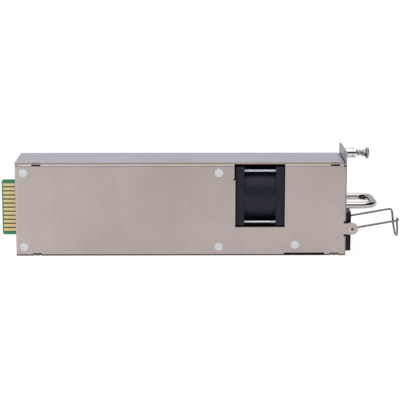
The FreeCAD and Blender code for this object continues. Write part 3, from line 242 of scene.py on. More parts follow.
def cover_steel():
    """The cover's sheet, whose edge towards the near side is bare, torn steel from the shear, painted
    darker along the bottom as shade. The dimples are painted darker as shade in place of their
    highlight, and nearly black as shade where they pass through the slots; so is the edge behind the
    slot below the front."""
    material, skin = finish("plated_steel_cover")
    plated, rough, height = rolled_sheet(skin, tint(199, 197, 208), tint(182, 180, 191), 22)
    torn = skin.noise(2400, 2, (1, 1, 0.3))
    # Painted shade: the dimples' darker colour stands in place of their highlight.
    dimple_shade = skin.between(torn, tint(104, 98, 98), tint(138, 132, 132))
    upper_edge = skin.between(torn, tint(162, 151, 146), tint(202, 191, 185))
    # Painted shade: the sheared edge is darker along the bottom, near the floor.
    shaded_lower_edge = skin.between(torn, tint(112, 102, 98), tint(150, 139, 134))
    # Painted shade: nearly black, deep in the dimples and on the edge behind the slot below the front.
    black_shade = skin.between(torn, tint(16, 13, 12), tint(34, 29, 27))

    sunk = (cover_high.z - cover_low.z) / 2 - abs(skin.along("Z") - (cover_low.z + cover_high.z) / 2)
    dimpled = skin.below(skin.along("Y"), cover_low.y + DIMPLE_REACH, 0.2 * MM)
    # Painted shade on the pressed-in surface of the dimples.
    pressed = dimpled * skin.below(DIMPLE_SHADE_DEPTH, sunk, 0.04 * MM)
    # Painted shade: deep in the dimples, where they show through the chassis's slots.
    in_mouth = dimpled * skin.below(BLACK_SHADE_DEPTH, sunk, 0.1 * MM)
    sheared = skin.below(skin.along("Y"), cover_low.y + SHEAR_DEPTH, 0.1 * MM)
    underside = skin.below(skin.along("Z"), cover_low.z + UNDERSIDE, 0.2 * MM)
    # Painted shade: the sheared edge behind the slot below the front.
    in_slot = skin.band("X", cover_high.x - SLOT_INSET + SLOT_LENGTH / 2, SLOT_LENGTH / 2, 0.2 * MM)
    in_slot = in_slot * skin.band("Z", cover_low.z + SLOT_LEVEL, SLOT_REACH, 0.1 * MM) * sheared

    colour = skin.between(pressed, plated, dimple_shade)
    colour = skin.between(sheared, colour, skin.between(underside, upper_edge, shaded_lower_edge))
    skin.surface({
        "Base Color": skin.between((in_mouth + in_slot).clamped(), colour, black_shade),
        "Metallic": 0.85,
        "Roughness": (rough + sheared * 0.15).clamped(),
        "Normal": skin.bump(height, 0.10, 0.3 * MM),
    })
    return material


def mesh_piece(name, points, faces, body, crease=35):
    """A smooth mesh from its points and faces, sharp only where it turns by more than the crease."""
    mesh = bpy.data.meshes.new(name)
    mesh.from_pydata([tuple(point) for point in points], [], faces)
    mesh.shade_smooth()
    mesh.set_sharp_from_angle(angle=math.radians(crease))
    made = bpy.data.objects.new(name, mesh)
    bpy.context.scene.collection.objects.link(made)
    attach(made, body)
    return made


def stitched(rings, sides, endless=False):
    """Quads between rings of points. A cap closes each end, unless the last ring meets the first."""
    faces = []
    for ring in range(rings if endless else rings - 1):
        here, ahead = ring * sides, (ring + 1) % rings * sides
        for side in range(sides):
            onward = (side + 1) % sides
            faces.append((here + side, here + onward, ahead + onward, ahead + side))
    caps = [tuple(reversed(range(sides))), tuple(range((rings - 1) * sides, rings * sides))]
    return faces if endless else faces + caps


def lathe(name, profile, place, body, sides, ripple=None, crease=35):
    """A turned piece along X: pairs of place along the axis and radius, which a ripple may vary."""
    points = []
    for along, radius in profile:
        for side in range(sides):
            angle = 2 * math.pi * side / sides
            spread = radius * (ripple(along, angle) if ripple else 1)
            points.append(place + Vector((along, spread * math.cos(angle), spread * math.sin(angle))))
    return mesh_piece(name, points, stitched(len(profile), sides), body, crease)


def button(name, profile, place, side, body, sides, crease=35):
    """A turned piece that stands out of the case's near side (-1) or far side (1)."""
    made = lathe(name, profile, Vector(), body, sides, crease=crease)
    made.data.transform(Matrix.Translation(place) @ Matrix.Rotation(side * math.pi / 2, 4, "Z"))
    return made


chassis_finish, cover_finish = chassis_steel(), cover_steel()
wear(chassis_finish, "base_chassis")
wear(cover_finish, "outer_cover")

# The sheared edge keeps a thin bead across the mouth of each dimple.
DIMPLE_REAR_INSET, DIMPLE_FRONT_INSET = 13 * MM, 5.6 * MM
MOUTH, UPPER_BEAD, LOWER_BEAD = 1.3 * MM, 0.17 * MM, 0.28 * MM

for end, x in (("rear", cover_low.x + DIMPLE_REAR_INSET), ("front", cover_high.x - DIMPLE_FRONT_INSET)):
    for level, bead, z in (("upper", UPPER_BEAD, cover_high.z - UPPER_BEAD),
                           ("lower", LOWER_BEAD, cover_low.z + LOWER_BEAD)):
        lip = lathe(f"dimple_bead_{end}_{level}", [
            (-MOUTH, 0.1 * bead), (-0.92 * MOUTH, 0.7 * bead), (-0.75 * MOUTH, bead),
            (0.75 * MOUTH, bead), (0.92 * MOUTH, 0.7 * bead), (MOUTH, 0.1 * bead),
        ], Vector((x, cover_low.y + bead, z)), "case", 16)
        wear(cover_finish, lip)

# A small blunt foot stands at the lower front corner, on the near side.
FOOT, FOOT_LENGTH = 0.45 * MM, 1.5 * MM
FOOT_DEPTH, FOOT_LEVEL = 0.3 * MM, 0.47 * MM

foot = lathe("corner_foot", [
    (-0.2 * MM, 0.4 * MM), (0.6 * FOOT_LENGTH, FOOT), (FOOT_LENGTH - 0.2 * MM, 0.4 * MM),
    (FOOT_LENGTH, 0.2 * MM), (FOOT_LENGTH, 0.02 * MM),
], Vector((cover_high.x, cover_low.y - FOOT_DEPTH, cover_low.z + FOOT_LEVEL)), "case", 24)
wear(cover_finish, foot)

# Three of the bend reliefs at the corners are closed by a spot of weld, ground flat.
RELIEF, RELIEF_LEVEL, WELD_HEIGHT = 0.75 * MM, 2 * MM, 0.03 * MM
WELD_REAR_INSET, WELD_FRONT_REACH = 1.37 * MM, 0.23 * MM

rear, front = cover_low.x + WELD_REAR_INSET, cover_high.x + WELD_FRONT_REACH
upper, lower = cover_high.z - RELIEF_LEVEL, cover_low.z + RELIEF_LEVEL
for name, x, z in (("rear_upper", rear, upper), ("rear_lower", rear, lower), ("front_lower", front, lower)):
    weld = button(f"corner_weld_{name}", [
        (-0.9 * MM, 0.98 * RELIEF), (0, 0.98 * RELIEF), (0.4 * WELD_HEIGHT, 1.2 * RELIEF),
        (WELD_HEIGHT, RELIEF), (WELD_HEIGHT, 0.02 * RELIEF),
    ], (x, chassis_low.y, z), -1, "case", 32)
    wear(chassis_finish, weld)


# Standoffs and board screws. Round steel studs with a bright zinc plate are clinched into the near
# face, and show there as flat pale discs. The board is screwed to them from inside.

def bright_plate(name, pale, deep, rough):
    """Bright plating on a turned or stamped part, a little stained, with faint tool lines."""
    material, skin = finish(name)
    stain = skin.noise(700, 3)
    turned = skin.noise(2600, 2, (1, 0.15, 1))
    skin.surface({
        "Base Color": skin.between(stain, deep, pale),
        "Metallic": 0.55,
        "Roughness": (rough + (stain - 0.5) * 0.18).clamped(),
        "Normal": skin.bump(turned * 0.4 + stain * 0.6, 0.12, 0.2 * MM),
    })
    return material


STUD, STUD_RIM, STUD_STEP, STUD_RAISE = 2.2 * MM, 2.6 * MM, 11.2 * MM, 1.2 * MM
STUD_HEIGHT = 0.12 * MM

stud_low, stud_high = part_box("board_standoffs")
rear, middle, front = stud_low.x + STUD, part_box("fan_frame")[0].x - STUD_STEP, stud_high.x - STUD
lower, upper = stud_low.z + STUD, stud_high.z - STUD
stud_places = [(rear, lower), (rear, upper), (middle, lower), (middle, upper), (front, lower + STUD_RAISE)]

stud_finish = bright_plate("zinc_stud", tint(240, 244, 246), tint(214, 220, 224), 0.34)
wear(stud_finish, "board_standoffs")
screw_finish = bright_plate("zinc_screw", tint(200, 202, 208), tint(170, 172, 178), 0.3)
wear(screw_finish, "board_screws", "handle_screws")
for number, (x, z) in enumerate(stud_places, start=1):
    face = button(f"stud_face_{number}", [
        (-0.3 * MM, 0.9 * STUD), (0, 0.97 * STUD_RIM), (0.05 * MM, STUD_RIM), (0.10 * MM, 0.96 * STUD_RIM),
        (STUD_HEIGHT, 0.8 * STUD_RIM), (0.06 * MM, 0.62 * STUD_RIM), (0.03 * MM, 0.4 * STUD_RIM),
        (0.03 * MM, 0.01 * STUD_RIM),
    ], (x, chassis_low.y, z), -1, "case", 48, 60)
    wear(stud_finish, face)


# Main board. Green solder mask on 1.6 mm glass fibre, with hard gold plated contacts on both faces
# of the card edge and the dark laminate showing between them.

foil_low, foil_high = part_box("gold_fingers")
board_low, board_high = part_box("main_board")


def solder_mask(name, card_edge=False):
    """Green mask over a faint glass weave, with bare brown laminate at the contacts of a card edge."""
    material, skin = finish(name)
    weave = skin.node("TexWave", {"wave_type": "BANDS", "bands_direction": "Z"}, {
        "Vector": skin.at(), "Scale": 260, "Distortion": 1.5, "Detail": 2,
    }, "Fac")
    cloud = skin.noise(160, 3)
    colour = skin.between((cloud * 0.7 + weave * 0.3).clamped(), tint(22, 120, 70), tint(36, 150, 92))
    if card_edge:
        middle, half = (foil_low + foil_high) / 2, (foil_high - foil_low) / 2
        bare = skin.band("X", middle.x, half.x, 0.1 * MM) * skin.band("Z", middle.z, half.z, 0.1 * MM)
        colour = skin.between(bare, colour, skin.between(weave, tint(48, 33, 14), tint(72, 53, 26)))
    skin.surface({
        "Base Color": colour,
        "Roughness": (0.28 + cloud * 0.14).clamped(),
        "Coat Weight": 0.4,
        "Coat Roughness": 0.12,
        "Normal": skin.bump(weave * 0.5 + cloud, 0.08, 0.2 * MM),
    })
    return material


def gold_plate():
    """Hard gold, with fine lines along the contacts from plugging in."""
    material, skin = finish("hard_gold")
    wipe = skin.noise(1800, 3, (0.08, 1, 1))
    cloud = skin.noise(300, 2)
    tone = (wipe * 0.6 + cloud * 0.4).clamped()
    skin.surface({
        "Base Color": skin.between(tone, tint(222, 198, 138), tint(240, 222, 172)),
        "Metallic": 0.7,
        "Roughness": (0.26 + wipe * 0.12).clamped(),
        "Normal": skin.bump(wipe, 0.1, 0.1 * MM),
    })
    return material


wear(solder_mask("green_mask", card_edge=True), "main_board")
wear(solder_mask("green_mask_plain"), "control_board")

FINGERS, FINGER_PITCH, FINGER_WIDTH, FINGER_CORNER, CORNER_STEPS = 12, 2.54 * MM, 1.76 * MM, 0.35 * MM, 4


def contact_outline(middle):
    """One contact as it is etched: a strip with rounded corners, about its middle level."""
    rear, front = foil_low.x + FINGER_CORNER, foil_high.x - FINGER_CORNER
    half = FINGER_WIDTH / 2 - FINGER_CORNER
    outline = []
    for quarter, (x, level) in enumerate([(front, half), (rear, half), (rear, -half), (front, -half)]):
        for step in range(CORNER_STEPS + 1):
            angle = (quarter + step / CORNER_STEPS) * math.pi / 2
            z = middle + level + FINGER_CORNER * math.sin(angle)
            outline.append((x + FINGER_CORNER * math.cos(angle), z))
    return outline


points, faces = [], []
for far, near in ((board_low.y, foil_low.y), (foil_high.y, board_high.y)):
    for finger in range(FINGERS):
        offset = (finger - (FINGERS - 1) / 2) * FINGER_PITCH
        outline = contact_outline((foil_low.z + foil_high.z) / 2 + offset)
        first = len(points)
        points += [(x, y, z) for y in (far, near) for x, z in outline]
        faces += [tuple(first + point for point in face) for face in stitched(2, len(outline))]
contacts = mesh_piece("card_contacts", points, faces, "case")
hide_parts("gold_fingers")
wear(gold_plate(), contacts)


# Insulating film. A thin sheet of black polypropylene, punched for the standoffs, lies between the
# board and the near face of the case. It shows only in the slot at the lower edge.

def moulded(name, pale, deep, rough, grain=900, bump=0.12):
    """Moulded plastic with the fine spark texture of its tool."""
    material, skin = finish(name)
    spark = skin.noise(grain, 3, rough=0.65)
    sweep = skin.noise(38, 2)
    skin.surface({
        "Base Color": skin.between((spark * 0.45 + sweep * 0.55).clamped(), deep, pale),
        "Roughness": (rough + (spark - 0.5) * 0.16).clamped(),
        "Specular IOR Level": 0.35,
        "Normal": skin.bump(spark, bump, 0.2 * MM),
    })
    return material


wear(moulded("black_film", tint(26, 26, 28), tint(18, 18, 20), 0.42), "insulating_film")


# Fan. A 38 mm housing of glass-filled nylon, nearly black and a little glossy, is held between two
# rubber pads by four long plated screws and a bracket coloured near black, which keeps its edge dark
# in the fan window. Its rotor turns on a steel shaft round the wound stator.

ROD, ROD_INSET, ROD_PROUD = 0.82 * MM, 3 * MM, 0.3 * MM
ROD_HEAD, ROD_HEAD_HEIGHT = 2.4 * MM, 1.2 * MM
ROD_THREAD, ROD_PITCH = 8.5 * MM, 0.5 * MM

wear(moulded("fan_housing", tint(24, 28, 46), tint(13, 16, 31), 0.46, 700, 0.1), "fan_frame")
# The bracket is coloured near black, so that its edge shows dark in the fan window.
wear(moulded("bracket_near_black", tint(24, 24, 28), tint(15, 15, 19), 0.5, 500, 0.1), "fan_bracket")
wear(moulded("fan_blades", tint(44, 45, 50), tint(34, 35, 40), 0.32, 600, 0.06), "fan_rotor")
rod_finish = bright_plate("fan_rods", tint(224, 234, 242), tint(202, 213, 223), 0.24)
wear(rod_finish, "fan_shaft")

fan_low, fan_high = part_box("fan_frame")
rod_start, rod_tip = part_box("fan_screws")[0].x, fan_high.x + ROD_PROUD
rod_head = [
    (rod_start, 0.1 * ROD_HEAD), (rod_start, 0.85 * ROD_HEAD),
    (rod_start + 0.25 * ROD_HEAD_HEIGHT, ROD_HEAD), (rod_start + ROD_HEAD_HEIGHT, ROD_HEAD),
    (rod_start + ROD_HEAD_HEIGHT, ROD),
]
rod_thread = []
for step in range(round(2 * ROD_THREAD / ROD_PITCH)):
    rod_thread.append((rod_tip - ROD_THREAD + step * ROD_PITCH / 2, ROD if step % 2 else 0.9 * ROD))
rod_profile = rod_head + rod_thread + [(rod_tip, 0.7 * ROD)]
rod_places = [Vector((0, y, z)) for y in (fan_low.y + ROD_INSET, fan_high.y - ROD_INSET)
              for z in (fan_low.z + ROD_INSET, fan_high.z - ROD_INSET)]
rods = []
for number, place in enumerate(rod_places, start=1):
    rods.append(lathe(f"fan_rod_{number}", rod_profile, place, "case", 24, crease=50))
wear(rod_finish, *rods)
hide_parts("fan_screws")

PAD, PAD_INSET, PAD_CORNER, PAD_EDGE = 1.15 * MM, 0.1 * MM, 2.5 * MM, 0.2 * MM
PAD_WALL, PAD_SIDES = 1.2 * MM, 96


def rubber_pad(name, x):
    """A square pad with rounded corners and the fan's round opening, from x towards the front."""
    middle, half = (fan_low.z + fan_high.z) / 2, (fan_high.z - fan_low.z) / 2 - PAD_INSET
    straight = half - PAD_CORNER
    outline = []
    for side in range(PAD_SIDES):
        angle = 2 * math.pi * side / PAD_SIDES
        heading = Vector((math.cos(angle), math.sin(angle)))
        spot = heading * (half / max(abs(heading.x), abs(heading.y)))
        if min(abs(spot.x), abs(spot.y)) > straight:
            corner = Vector((math.copysign(straight, heading.x), math.copysign(straight, heading.y)))
            spot = corner + (spot - corner).normalized() * PAD_CORNER
        outline.append(spot)
    bore = [spot.normalized() * (half - PAD_WALL) for spot in outline]
    inset = [spot * (1 - PAD_EDGE / half) for spot in outline]
    loops = [(bore, 0), (inset, 0), (outline, PAD_EDGE), (outline, PAD - PAD_EDGE), (inset, PAD), (bore, PAD)]
    points = [Vector((x + along, spot.x, middle + spot.y)) for loop, along in loops for spot in loop]
    return mesh_piece(name, points, stitched(len(loops), PAD_SIDES, endless=True), "case")


pads = [rubber_pad("fan_pad_rear", fan_low.x - PAD), rubber_pad("fan_pad_front", fan_high.x)]
wear(moulded("soft_rubber", tint(20, 24, 42), tint(11, 14, 28), 0.6, 500, 0.1), *pads)


def enamelled_copper():
    """Copper wire in clear enamel, wound side by side."""
    material, skin = finish("copper_wire")
    strands = skin.node("TexWave", {"wave_type": "BANDS", "bands_direction": "X"}, {
        "Vector": skin.at((1, 0.4, 0.4)), "Scale": 420, "Distortion": 0.4,
    }, "Fac")
    age = skin.noise(240, 2)
    tone = (strands * 0.6 + age * 0.4).clamped()
    skin.surface({
        "Base Color": skin.between(tone, tint(142, 74, 34), tint(206, 124, 66)),
        "Metallic": 0.7,
        "Roughness": (0.28 + age * 0.1).clamped(),
        "Normal": skin.bump(strands, 0.5, 0.3 * MM),
    })
    return material


windings = ["boost_inductor_winding", "output_inductor_winding", "mains_choke_winding"]
wear(enamelled_copper(), "fan_stator", *windings)


# Mains inlet. A black moulded body of the standard 10 A pattern is snapped into the panel, and
# holds three flat blades, stamped and nickel plated.

wear(moulded("inlet_black", tint(16, 8, 18), tint(7, 4, 9), 0.42, 1100, 0.12), "inlet_housing")
wear(bright_plate("nickel_blades", tint(212, 208, 196), tint(184, 180, 166), 0.26), "inlet_pins")


# Handle. A 4.4 mm steel rod bent twice, polished and chrome plated, whose tapped ends are screwed
# to the panel from inside.

def bent_run(corners, bends):
    """The middle line of a bent rod: straight runs between corners, joined by round bends."""
    route = [corners[0]]
    for before, corner, after, bend in zip(corners, corners[1:], corners[2:], bends):
        back, onward = (before - corner).normalized(), (after - corner).normalized()
        half = back.angle(onward) / 2
        centre = corner + (back + onward).normalized() * (bend / math.sin(half))
        first = corner + back * (bend / math.tan(half)) - centre
        turn, axis = math.pi - 2 * half, back.cross(onward)
        steps = max(6, round(math.degrees(turn) / 5))
        for step in range(steps + 1):
            route.append(centre + Matrix.Rotation(-turn * step / steps, 3, axis) @ first)
    return route + [corners[-1]]


def rod_along(name, route, radius, body, sides):
    """A round rod along a route, carried from ring to ring without twisting."""
    heading = (route[1] - route[0]).normalized()
    spoke = heading.orthogonal().normalized() * radius
    points = []
    for number, place in enumerate(route):
        before, after = route[max(number - 1, 0)], route[min(number + 1, len(route) - 1)]
        onward = (after - before).normalized()
        spoke = heading.rotation_difference(onward) @ spoke
        heading = onward
        for side in range(sides):
            points.append(place + Matrix.Rotation(2 * math.pi * side / sides, 3, heading) @ spoke)
    return mesh_piece(name, points, stitched(len(route), sides), body)


def chrome(name, pale, deep, rough):
    """Bright plating over drawn steel: a little haze, and hair lines from polishing."""
    material, skin = finish(name)
    haze = skin.noise(240, 3)
    polish = skin.noise(1500, 2, (0.2, 1, 1))
    skin.surface({
        "Base Color": skin.between(haze, deep, pale),
        "Metallic": 1.0,
        "Roughness": (rough + haze * 0.06 + (polish - 0.5) * 0.03).clamped(),
        "Normal": skin.bump(polish, 0.03, 0.1 * MM),
    })
    return material


HANDLE_BEND = 8 * MM

handle_low, handle_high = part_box("pull_handle")
bar = (handle_high.z - handle_low.z) / 2
root, reach, side, level = handle_low.x, handle_high.x - bar, handle_high.y - bar, handle_low.z + bar
corners = [Vector((x, y, level)) for x, y in ((root, -side), (reach, -side), (reach, side), (root, side))]
handle = rod_along("chrome_handle", bent_run(corners, [HANDLE_BEND] * 2), bar, "case", 40)
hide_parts("pull_handle")
wear(chrome("chrome_rod", tint(204, 200, 196), tint(180, 176, 172), 0.03), handle)


# Plug retainer. One 1.3 mm spring steel wire, bent into two arms and a saddle for the cord, whose
# ends are turned out through the ears and spread over washers like rivets, so that it swings.

WIRE, EAR_BEND, BAIL_BEND = 0.65 * MM, 0.715 * MM, 2.2 * MM
BAIL_ARM, BAIL_RISE, BAIL_SIDE = 28.9 * MM, math.radians(10), 18.05 * MM
BAIL_SADDLE, BAIL_DROP, BAIL_LEAN = 12.4 * MM, 13.2 * MM, math.radians(5)

across, ear_face = Vector((0, 1, 0)), -chassis_low.y
elbow = pivot + Vector((math.cos(BAIL_RISE), 0, math.sin(BAIL_RISE))) * BAIL_ARM
saddle = elbow + Vector((math.sin(BAIL_LEAN), 0, -math.cos(BAIL_LEAN))) * BAIL_DROP
shoulder = BAIL_SADDLE - BAIL_BEND
arm = [(pivot, ear_face), (pivot, BAIL_SIDE), (elbow, BAIL_SIDE), (elbow, shoulder), (saddle, shoulder)]
corners = [place - across * out for place, out in arm]
corners += [place + across * out for place, out in reversed(arm)]
bends = [EAR_BEND, BAIL_BEND, BAIL_BEND, 0.98 * shoulder]
bail = rod_along("bail_wire", bent_run(corners, bends + bends[::-1]), WIRE, "plug_retainer", 20)
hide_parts("retention_bail")
wire_finish = chrome("spring_wire", tint(142, 140, 141), tint(98, 97, 99), 0.12)
wear(wire_finish, bail)

RIVET, RIVET_HEIGHT, WASHER, WASHER_HEIGHT = 0.95 * MM, 0.5 * MM, 2.0 * MM, 0.15 * MM

washer_finish = bright_plate("washer_plate", tint(224, 214, 210), tint(202, 191, 186), 0.3)
for name, side in (("near", -1), ("far", 1)):
    ear = pivot + across * side * ear_face
    spread_end = button(f"bail_end_{name}", [
        (0, RIVET), (0.3 * RIVET_HEIGHT, RIVET), (0.8 * RIVET_HEIGHT, 0.85 * RIVET),
        (RIVET_HEIGHT, 0.68 * RIVET), (0.95 * RIVET_HEIGHT, 0.5 * RIVET),
        (0.2 * RIVET_HEIGHT, 0.3 * RIVET), (0.15 * RIVET_HEIGHT, 0.02 * RIVET),
    ], ear, side, "plug_retainer", 40)
    wear(wire_finish, spread_end)
    washer = button(f"bail_washer_{name}", [
        (-WASHER_HEIGHT / 3, WASHER), (2 * WASHER_HEIGHT / 3, WASHER), (WASHER_HEIGHT, 0.94 * WASHER),
        (WASHER_HEIGHT, 0.5 * WASHER), (WASHER_HEIGHT / 3, 0.4 * WASHER), (WASHER_HEIGHT / 3, 0.02 * WASHER),
    ], ear, side, "case", 48)
    wear(washer_finish, washer)


# Captive screw. A nickel plated ferrule is clinched into the tab. The screw in it has a knurled
# head with a cross recess, and a small coil spring with closed ends pushes it outwards.

HEAD_LENGTH, NECK, SHANK = 3 * MM, 2.1 * MM, 1.15 * MM
KNURLS, KNURL_DEPTH, RECESS, RECESS_TURN = 36, 0.035, 1.1 * MM, math.radians(36)
THREAD, THREAD_LENGTH, THREAD_PITCH = 1.5 * MM, 3.8 * MM, 0.5 * MM
THREAD_STEPS, THREAD_DEPTH, POINT_STEP = 80, 0.13, 0.0625 * MM

screw_low, screw_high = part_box("captive_screw")
screw_tip, thread_end, crown = screw_low.x, screw_low.x + THREAD_LENGTH, screw_high.x
rim, under = (screw_high.y - screw_low.y) / 2, screw_high.x - HEAD_LENGTH
screw_axis = Vector((0, (screw_low.y + screw_high.y) / 2, (screw_low.z + screw_high.z) / 2))


def cross_recess(piece, place, width, arm, depth):
    """Cuts a tapered cross into a face that looks along X."""
    tool = bmesh.new()
    for turn in (0, math.pi / 2):
        for vert in bmesh.ops.create_cube(tool, size=1)["verts"]:
            taper = 1 if vert.co.x > 0 else 0.7
            spot = Vector((vert.co.x * 2 * depth, vert.co.y * arm * taper, vert.co.z * width * taper))
            vert.co = place + Matrix.Rotation(turn + RECESS_TURN, 3, "X") @ spot
    mesh = bpy.data.meshes.new("recess_tool")
    tool.to_mesh(mesh)
    tool.free()
    cutter = bpy.data.objects.new("recess_tool", mesh)
    bpy.context.scene.collection.objects.link(cutter)
    cut = piece.modifiers.new("recess", "BOOLEAN")
    cut.operation, cut.object, cut.solver, cut.use_self = "DIFFERENCE", cutter, "EXACT", True
    bpy.context.view_layer.update()
    carved = bpy.data.meshes.new_from_object(piece.evaluated_get(bpy.context.evaluated_depsgraph_get()))
    piece.modifiers.clear()
    piece.data = carved
    bpy.data.objects.remove(cutter)


def head_grip(along, angle):
    """Fine straight knurls round the widest part of the head."""
    depth = KNURL_DEPTH if under + 0.45 * HEAD_LENGTH < along < crown - 0.1 * HEAD_LENGTH else 0
    return 1 - depth * (0.5 - 0.5 * math.cos(KNURLS * angle))


def thread_rise(along, angle):
    """A helical thread with rounded crests on the screw's end."""
    turns = (along - screw_tip) / THREAD_PITCH - angle / (2 * math.pi)
    return 1 - THREAD_DEPTH * abs(2 * (turns % 1) - 1)


thread = [(screw_tip, 0.7 * THREAD)]
for step in range(1, THREAD_STEPS + 1):
    thread.append((screw_tip + THREAD_LENGTH * step / THREAD_STEPS, min(THREAD, SHANK + POINT_STEP * step)))
screw_thread = lathe("screw_thread", thread, screw_axis, "panel_screw", 48, thread_rise, 60)
screw_head = lathe("screw_head", [
    (thread_end, SHANK), (under, SHANK), (under, 0.96 * NECK), (under + 0.1 * HEAD_LENGTH, NECK),
    (under + 0.3 * HEAD_LENGTH, 1.15 * NECK), (under + 0.46 * HEAD_LENGTH, 0.96 * rim),
    (under + 0.5 * HEAD_LENGTH, rim), (crown - 0.2 * HEAD_LENGTH, rim),
    (crown - 0.15 * HEAD_LENGTH, 0.97 * rim), (crown - 0.03 * HEAD_LENGTH, 0.8 * rim),
    (crown, 0.72 * rim), (crown, 0.1 * rim),
], screw_axis, "panel_screw", 4 * KNURLS, head_grip, 40)
cross_recess(screw_head, screw_axis + Vector((crown, 0, 0)), RECESS, 3.4 * RECESS, 1.2 * RECESS)
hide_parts("captive_screw")
wear(chrome("nickel_ferrule", tint(222, 220, 218), tint(196, 194, 192), 0.1), "screw_ferrule")
wear(chrome("nickel_screw", tint(184, 181, 178), tint(148, 145, 142), 0.12), screw_head, screw_thread)

SPRING_WIRE, SPRING_TURNS, CLOSED_TURNS, TURN_STEPS = 0.3 * MM, 5, 0.9, 40
CLOSED_PITCH = 2.05 * SPRING_WIRE

spring_low, spring_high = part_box("screw_spring")


def coil_route():
    """The middle line of a coil along X, as long as its CAD node, whose end turns lie close together."""
    radius = (spring_high.y - spring_low.y) / 2 - SPRING_WIRE
    start, end = spring_low.x + SPRING_WIRE, spring_high.x - SPRING_WIRE
    middle = Vector((start, (spring_low.y + spring_high.y) / 2, (spring_low.z + spring_high.z) / 2))
    open_length = end - start - 2 * CLOSED_PITCH * CLOSED_TURNS
    route = []
    for step in range(TURN_STEPS * SPRING_TURNS + 1):
        turn = step / TURN_STEPS
        opened = min(max((turn - CLOSED_TURNS) / (SPRING_TURNS - 2 * CLOSED_TURNS), 0), 1)
        closed = min(turn, CLOSED_TURNS) + max(turn - (SPRING_TURNS - CLOSED_TURNS), 0)
        angle = 2 * math.pi * turn
        along = CLOSED_PITCH * closed + open_length * opened
        route.append(middle + Vector((along, radius * math.cos(angle), radius * math.sin(angle))))
    return route


spring = rod_along("screw_coil", coil_route(), SPRING_WIRE, "screw_carriage", 12)
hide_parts("screw_spring")
press, moving_end = joints["screw_press"], spring_high.x
travel, free_length = press["range_m"][1], moving_end - press["deforming_nodes"][0]["fixed_end_x_m"]
1 - travel / free_length
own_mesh(spring)
wear(chrome("spring_steel", tint(162, 160, 158), tint(118, 116, 114), 0.14), spring)


# Status light. A clear plastic pipe, pressed into its hole in the panel, carries the light of a
# lamp behind the panel to a domed end at its face.

def clear_plastic():
    """Clear, faintly green plastic, a little hazy from its mould."""
    material, skin = finish("light_pipe")
    haze = skin.noise(500, 2)
    skin.surface({
        "Base Color": skin.between(haze, tint(205, 226, 208), tint(222, 240, 226)),
        "Roughness": (0.12 + haze * 0.1).clamped(),
        "Normal": skin.bump(haze, 0.05, 0.1 * MM),
    })
    return material


wear(clear_plastic(), "status_light_pipe")


# Electronics. Cans, cores, heat sinks and packages stand on the board and show through the vents.
# Each has the usual finish of its trade: bare aluminium, shrink sleeve, ferrite, tape or epoxy.

aluminium = bright_plate("can_aluminium", tint(214, 214, 218), tint(188, 188, 192), 0.28)
wear(aluminium, "output_capacitors", "primary_heat_sink", "secondary_heat_sink")

for name, pale, deep, rough, grain, bump, dressed in (
    ("black_sleeve", (34, 34, 40), (22, 22, 28), 0.22, 500, 0.05, ["bulk_capacitor"]),
    ("ferrite", (56, 54, 54), (38, 37, 37), 0.55, 500, 0.2,
     ["transformer_core", "mains_choke_core", "transformer_bobbin"]),
    ("yellow_tape", (232, 196, 74), (206, 166, 48), 0.3, 300, 0.08,
     ["transformer_coil", "standby_transformer", "x_capacitor"]),
    ("package_black", (36, 36, 38), (24, 24, 26), 0.45, 900, 0.15,
     ["power_transistors", "output_rectifiers", "bridge_rectifier", "control_chip"]),
    ("core_green", (52, 84, 66), (36, 62, 48), 0.4, 400, 0.08, ["boost_inductor_core"]),
    ("core_yellow", (190, 176, 70), (160, 146, 50), 0.4, 400, 0.08, ["output_inductor_core"]),
    ("disc_blue", (42, 82, 170), (28, 60, 130), 0.25, 400, 0.08, ["y_capacitors"]),
    ("ceramic", (224, 220, 206), (204, 198, 182), 0.4, 500, 0.08, ["mains_fuse", "fan_header"]),
):
    wear(moulded(name, tint(*pale), tint(*deep), rough, grain, bump), *dressed)


# Studio. A pale floor keeps the part's shadow under large soft lamps from the left, the front and
# above. The room is white, with a dim band along its horizon that gives chrome its dark lines.

def looked_at(shade):
    """1 for what the camera sees, by itself or through clear plastic."""
    camera_ray = shade.node("LightPath", {}, {}, "Is Camera Ray")
    return (camera_ray + shade.node("LightPath", {}, {}, "Is Transmission Ray")).clamped()


def white_floor():
    """Matt where it gives light, and nearly white where it is seen, so that only the shadow shows."""
    material, skin = finish("studio_floor")
    seen = looked_at(skin)
    mirrored = skin.node("LightPath", {}, {}, "Is Glossy Ray")
    matt = skin.node("BsdfDiffuse", {}, {"Color": (0.72, 0.71, 0.70, 1)})
    glow = skin.node("Emission", {}, {"Color": (1, 1, 1, 1), "Strength": 1.06})
    mixed = skin.node("MixShader", {}, {0: (seen * 0.9 + mirrored * 0.6).clamped(), 1: matt, 2: glow})
    skin.node("OutputMaterial", {}, {"Surface": mixed})
    return material


bpy.ops.mesh.primitive_plane_add(size=14, location=(0, 3, 0))
floor = bpy.context.object
floor.name = "studio_floor"
wear(white_floor(), floor)

# The dim band: its level and height, how much higher it stands on the right, how many heights off
# its soft edges end, and how dim it is behind the part and, on top of that, in front of it.
BAND_LEVEL, BAND_HEIGHT, BAND_SPREAD, BAND_EDGE = 0.26, 0.26, 0.5, 1.8
BAND_DIM, BAND_FRONT_DIM = 0.42, 0.57

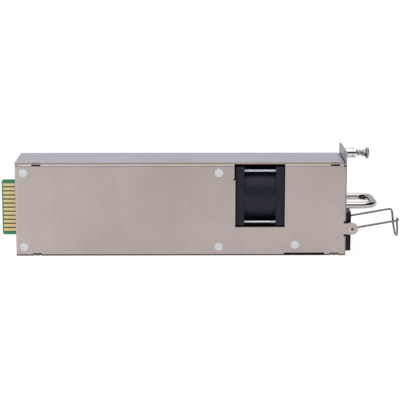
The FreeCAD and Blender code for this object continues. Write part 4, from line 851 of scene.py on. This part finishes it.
world = bpy.data.worlds.new("studio_air")
bpy.context.scene.world = world
world.use_nodes = True
world.node_tree.nodes.clear()
air = Shade(world.node_tree)
right, back, up = (air.along(axis, "Generated") for axis in "XYZ")
horizon = (BAND_EDGE - abs(up - BAND_LEVEL) / (BAND_HEIGHT + right.clamped() * BAND_SPREAD)).clamped()
in_front = (1.1 - back * 1.6).clamped()
dimness = horizon * (in_front * BAND_FRONT_DIM + BAND_DIM)
strength = 1 - dimness * (1 - looked_at(air))
shine = air.node("Background", {}, {"Color": (1, 1, 1, 1), "Strength": strength})
air.node("OutputWorld", {}, {"Surface": shine})


def lamp(name, place, width, height, power, colour=(1, 1, 1)):
    """A large soft panel that looks at the middle of the part."""
    light = bpy.data.lights.new(name, "AREA")
    light.shape, light.size, light.size_y = "RECTANGLE", width, height
    light.energy, light.color = power, colour
    made = bpy.data.objects.new(name, light)
    bpy.context.scene.collection.objects.link(made)
    made.location = place
    made.rotation_euler = (Vector((0, 0, 30 * MM)) - Vector(place)).to_track_quat("-Z", "Y").to_euler()


lamp("window_left", (-1.5, -1.2, 1.1), 2.6, 2.0, 23)
lamp("window_front", (0.4, -1.3, 2.1), 2.4, 1.5, 11)
lamp("sky_panel", (0, 0.3, 1.6), 2.4, 1.8, 9, (0.93, 0.95, 1.0))

# The camera stands 0.9 m off the large face, a little above it and a little to the left of square.
CAMERA_PLACE, FOCAL_LENGTH, SENSOR = (0.00121, -0.91932, 0.21092), 135.03, 36
PITCH, ROLL, YAW = math.radians(11.063), math.radians(0.043), math.radians(0.658)

lens = bpy.data.cameras.new("camera")
lens.lens, lens.sensor_width, lens.clip_start, lens.clip_end = FOCAL_LENGTH, SENSOR, 0.01, 40
camera = bpy.data.objects.new("camera", lens)
bpy.context.scene.collection.objects.link(camera)
turn = Matrix.Rotation(ROLL, 3, "Y") @ Matrix.Rotation(PITCH, 3, "X") @ Matrix.Rotation(YAW, 3, "Z")
axes = Matrix((turn[0], turn[2], -turn[1])).transposed()
camera.matrix_world = Matrix.Translation(CAMERA_PLACE) @ axes.to_4x4()
bpy.context.scene.camera = camera
bpy.context.scene.view_settings.view_transform = "Standard"
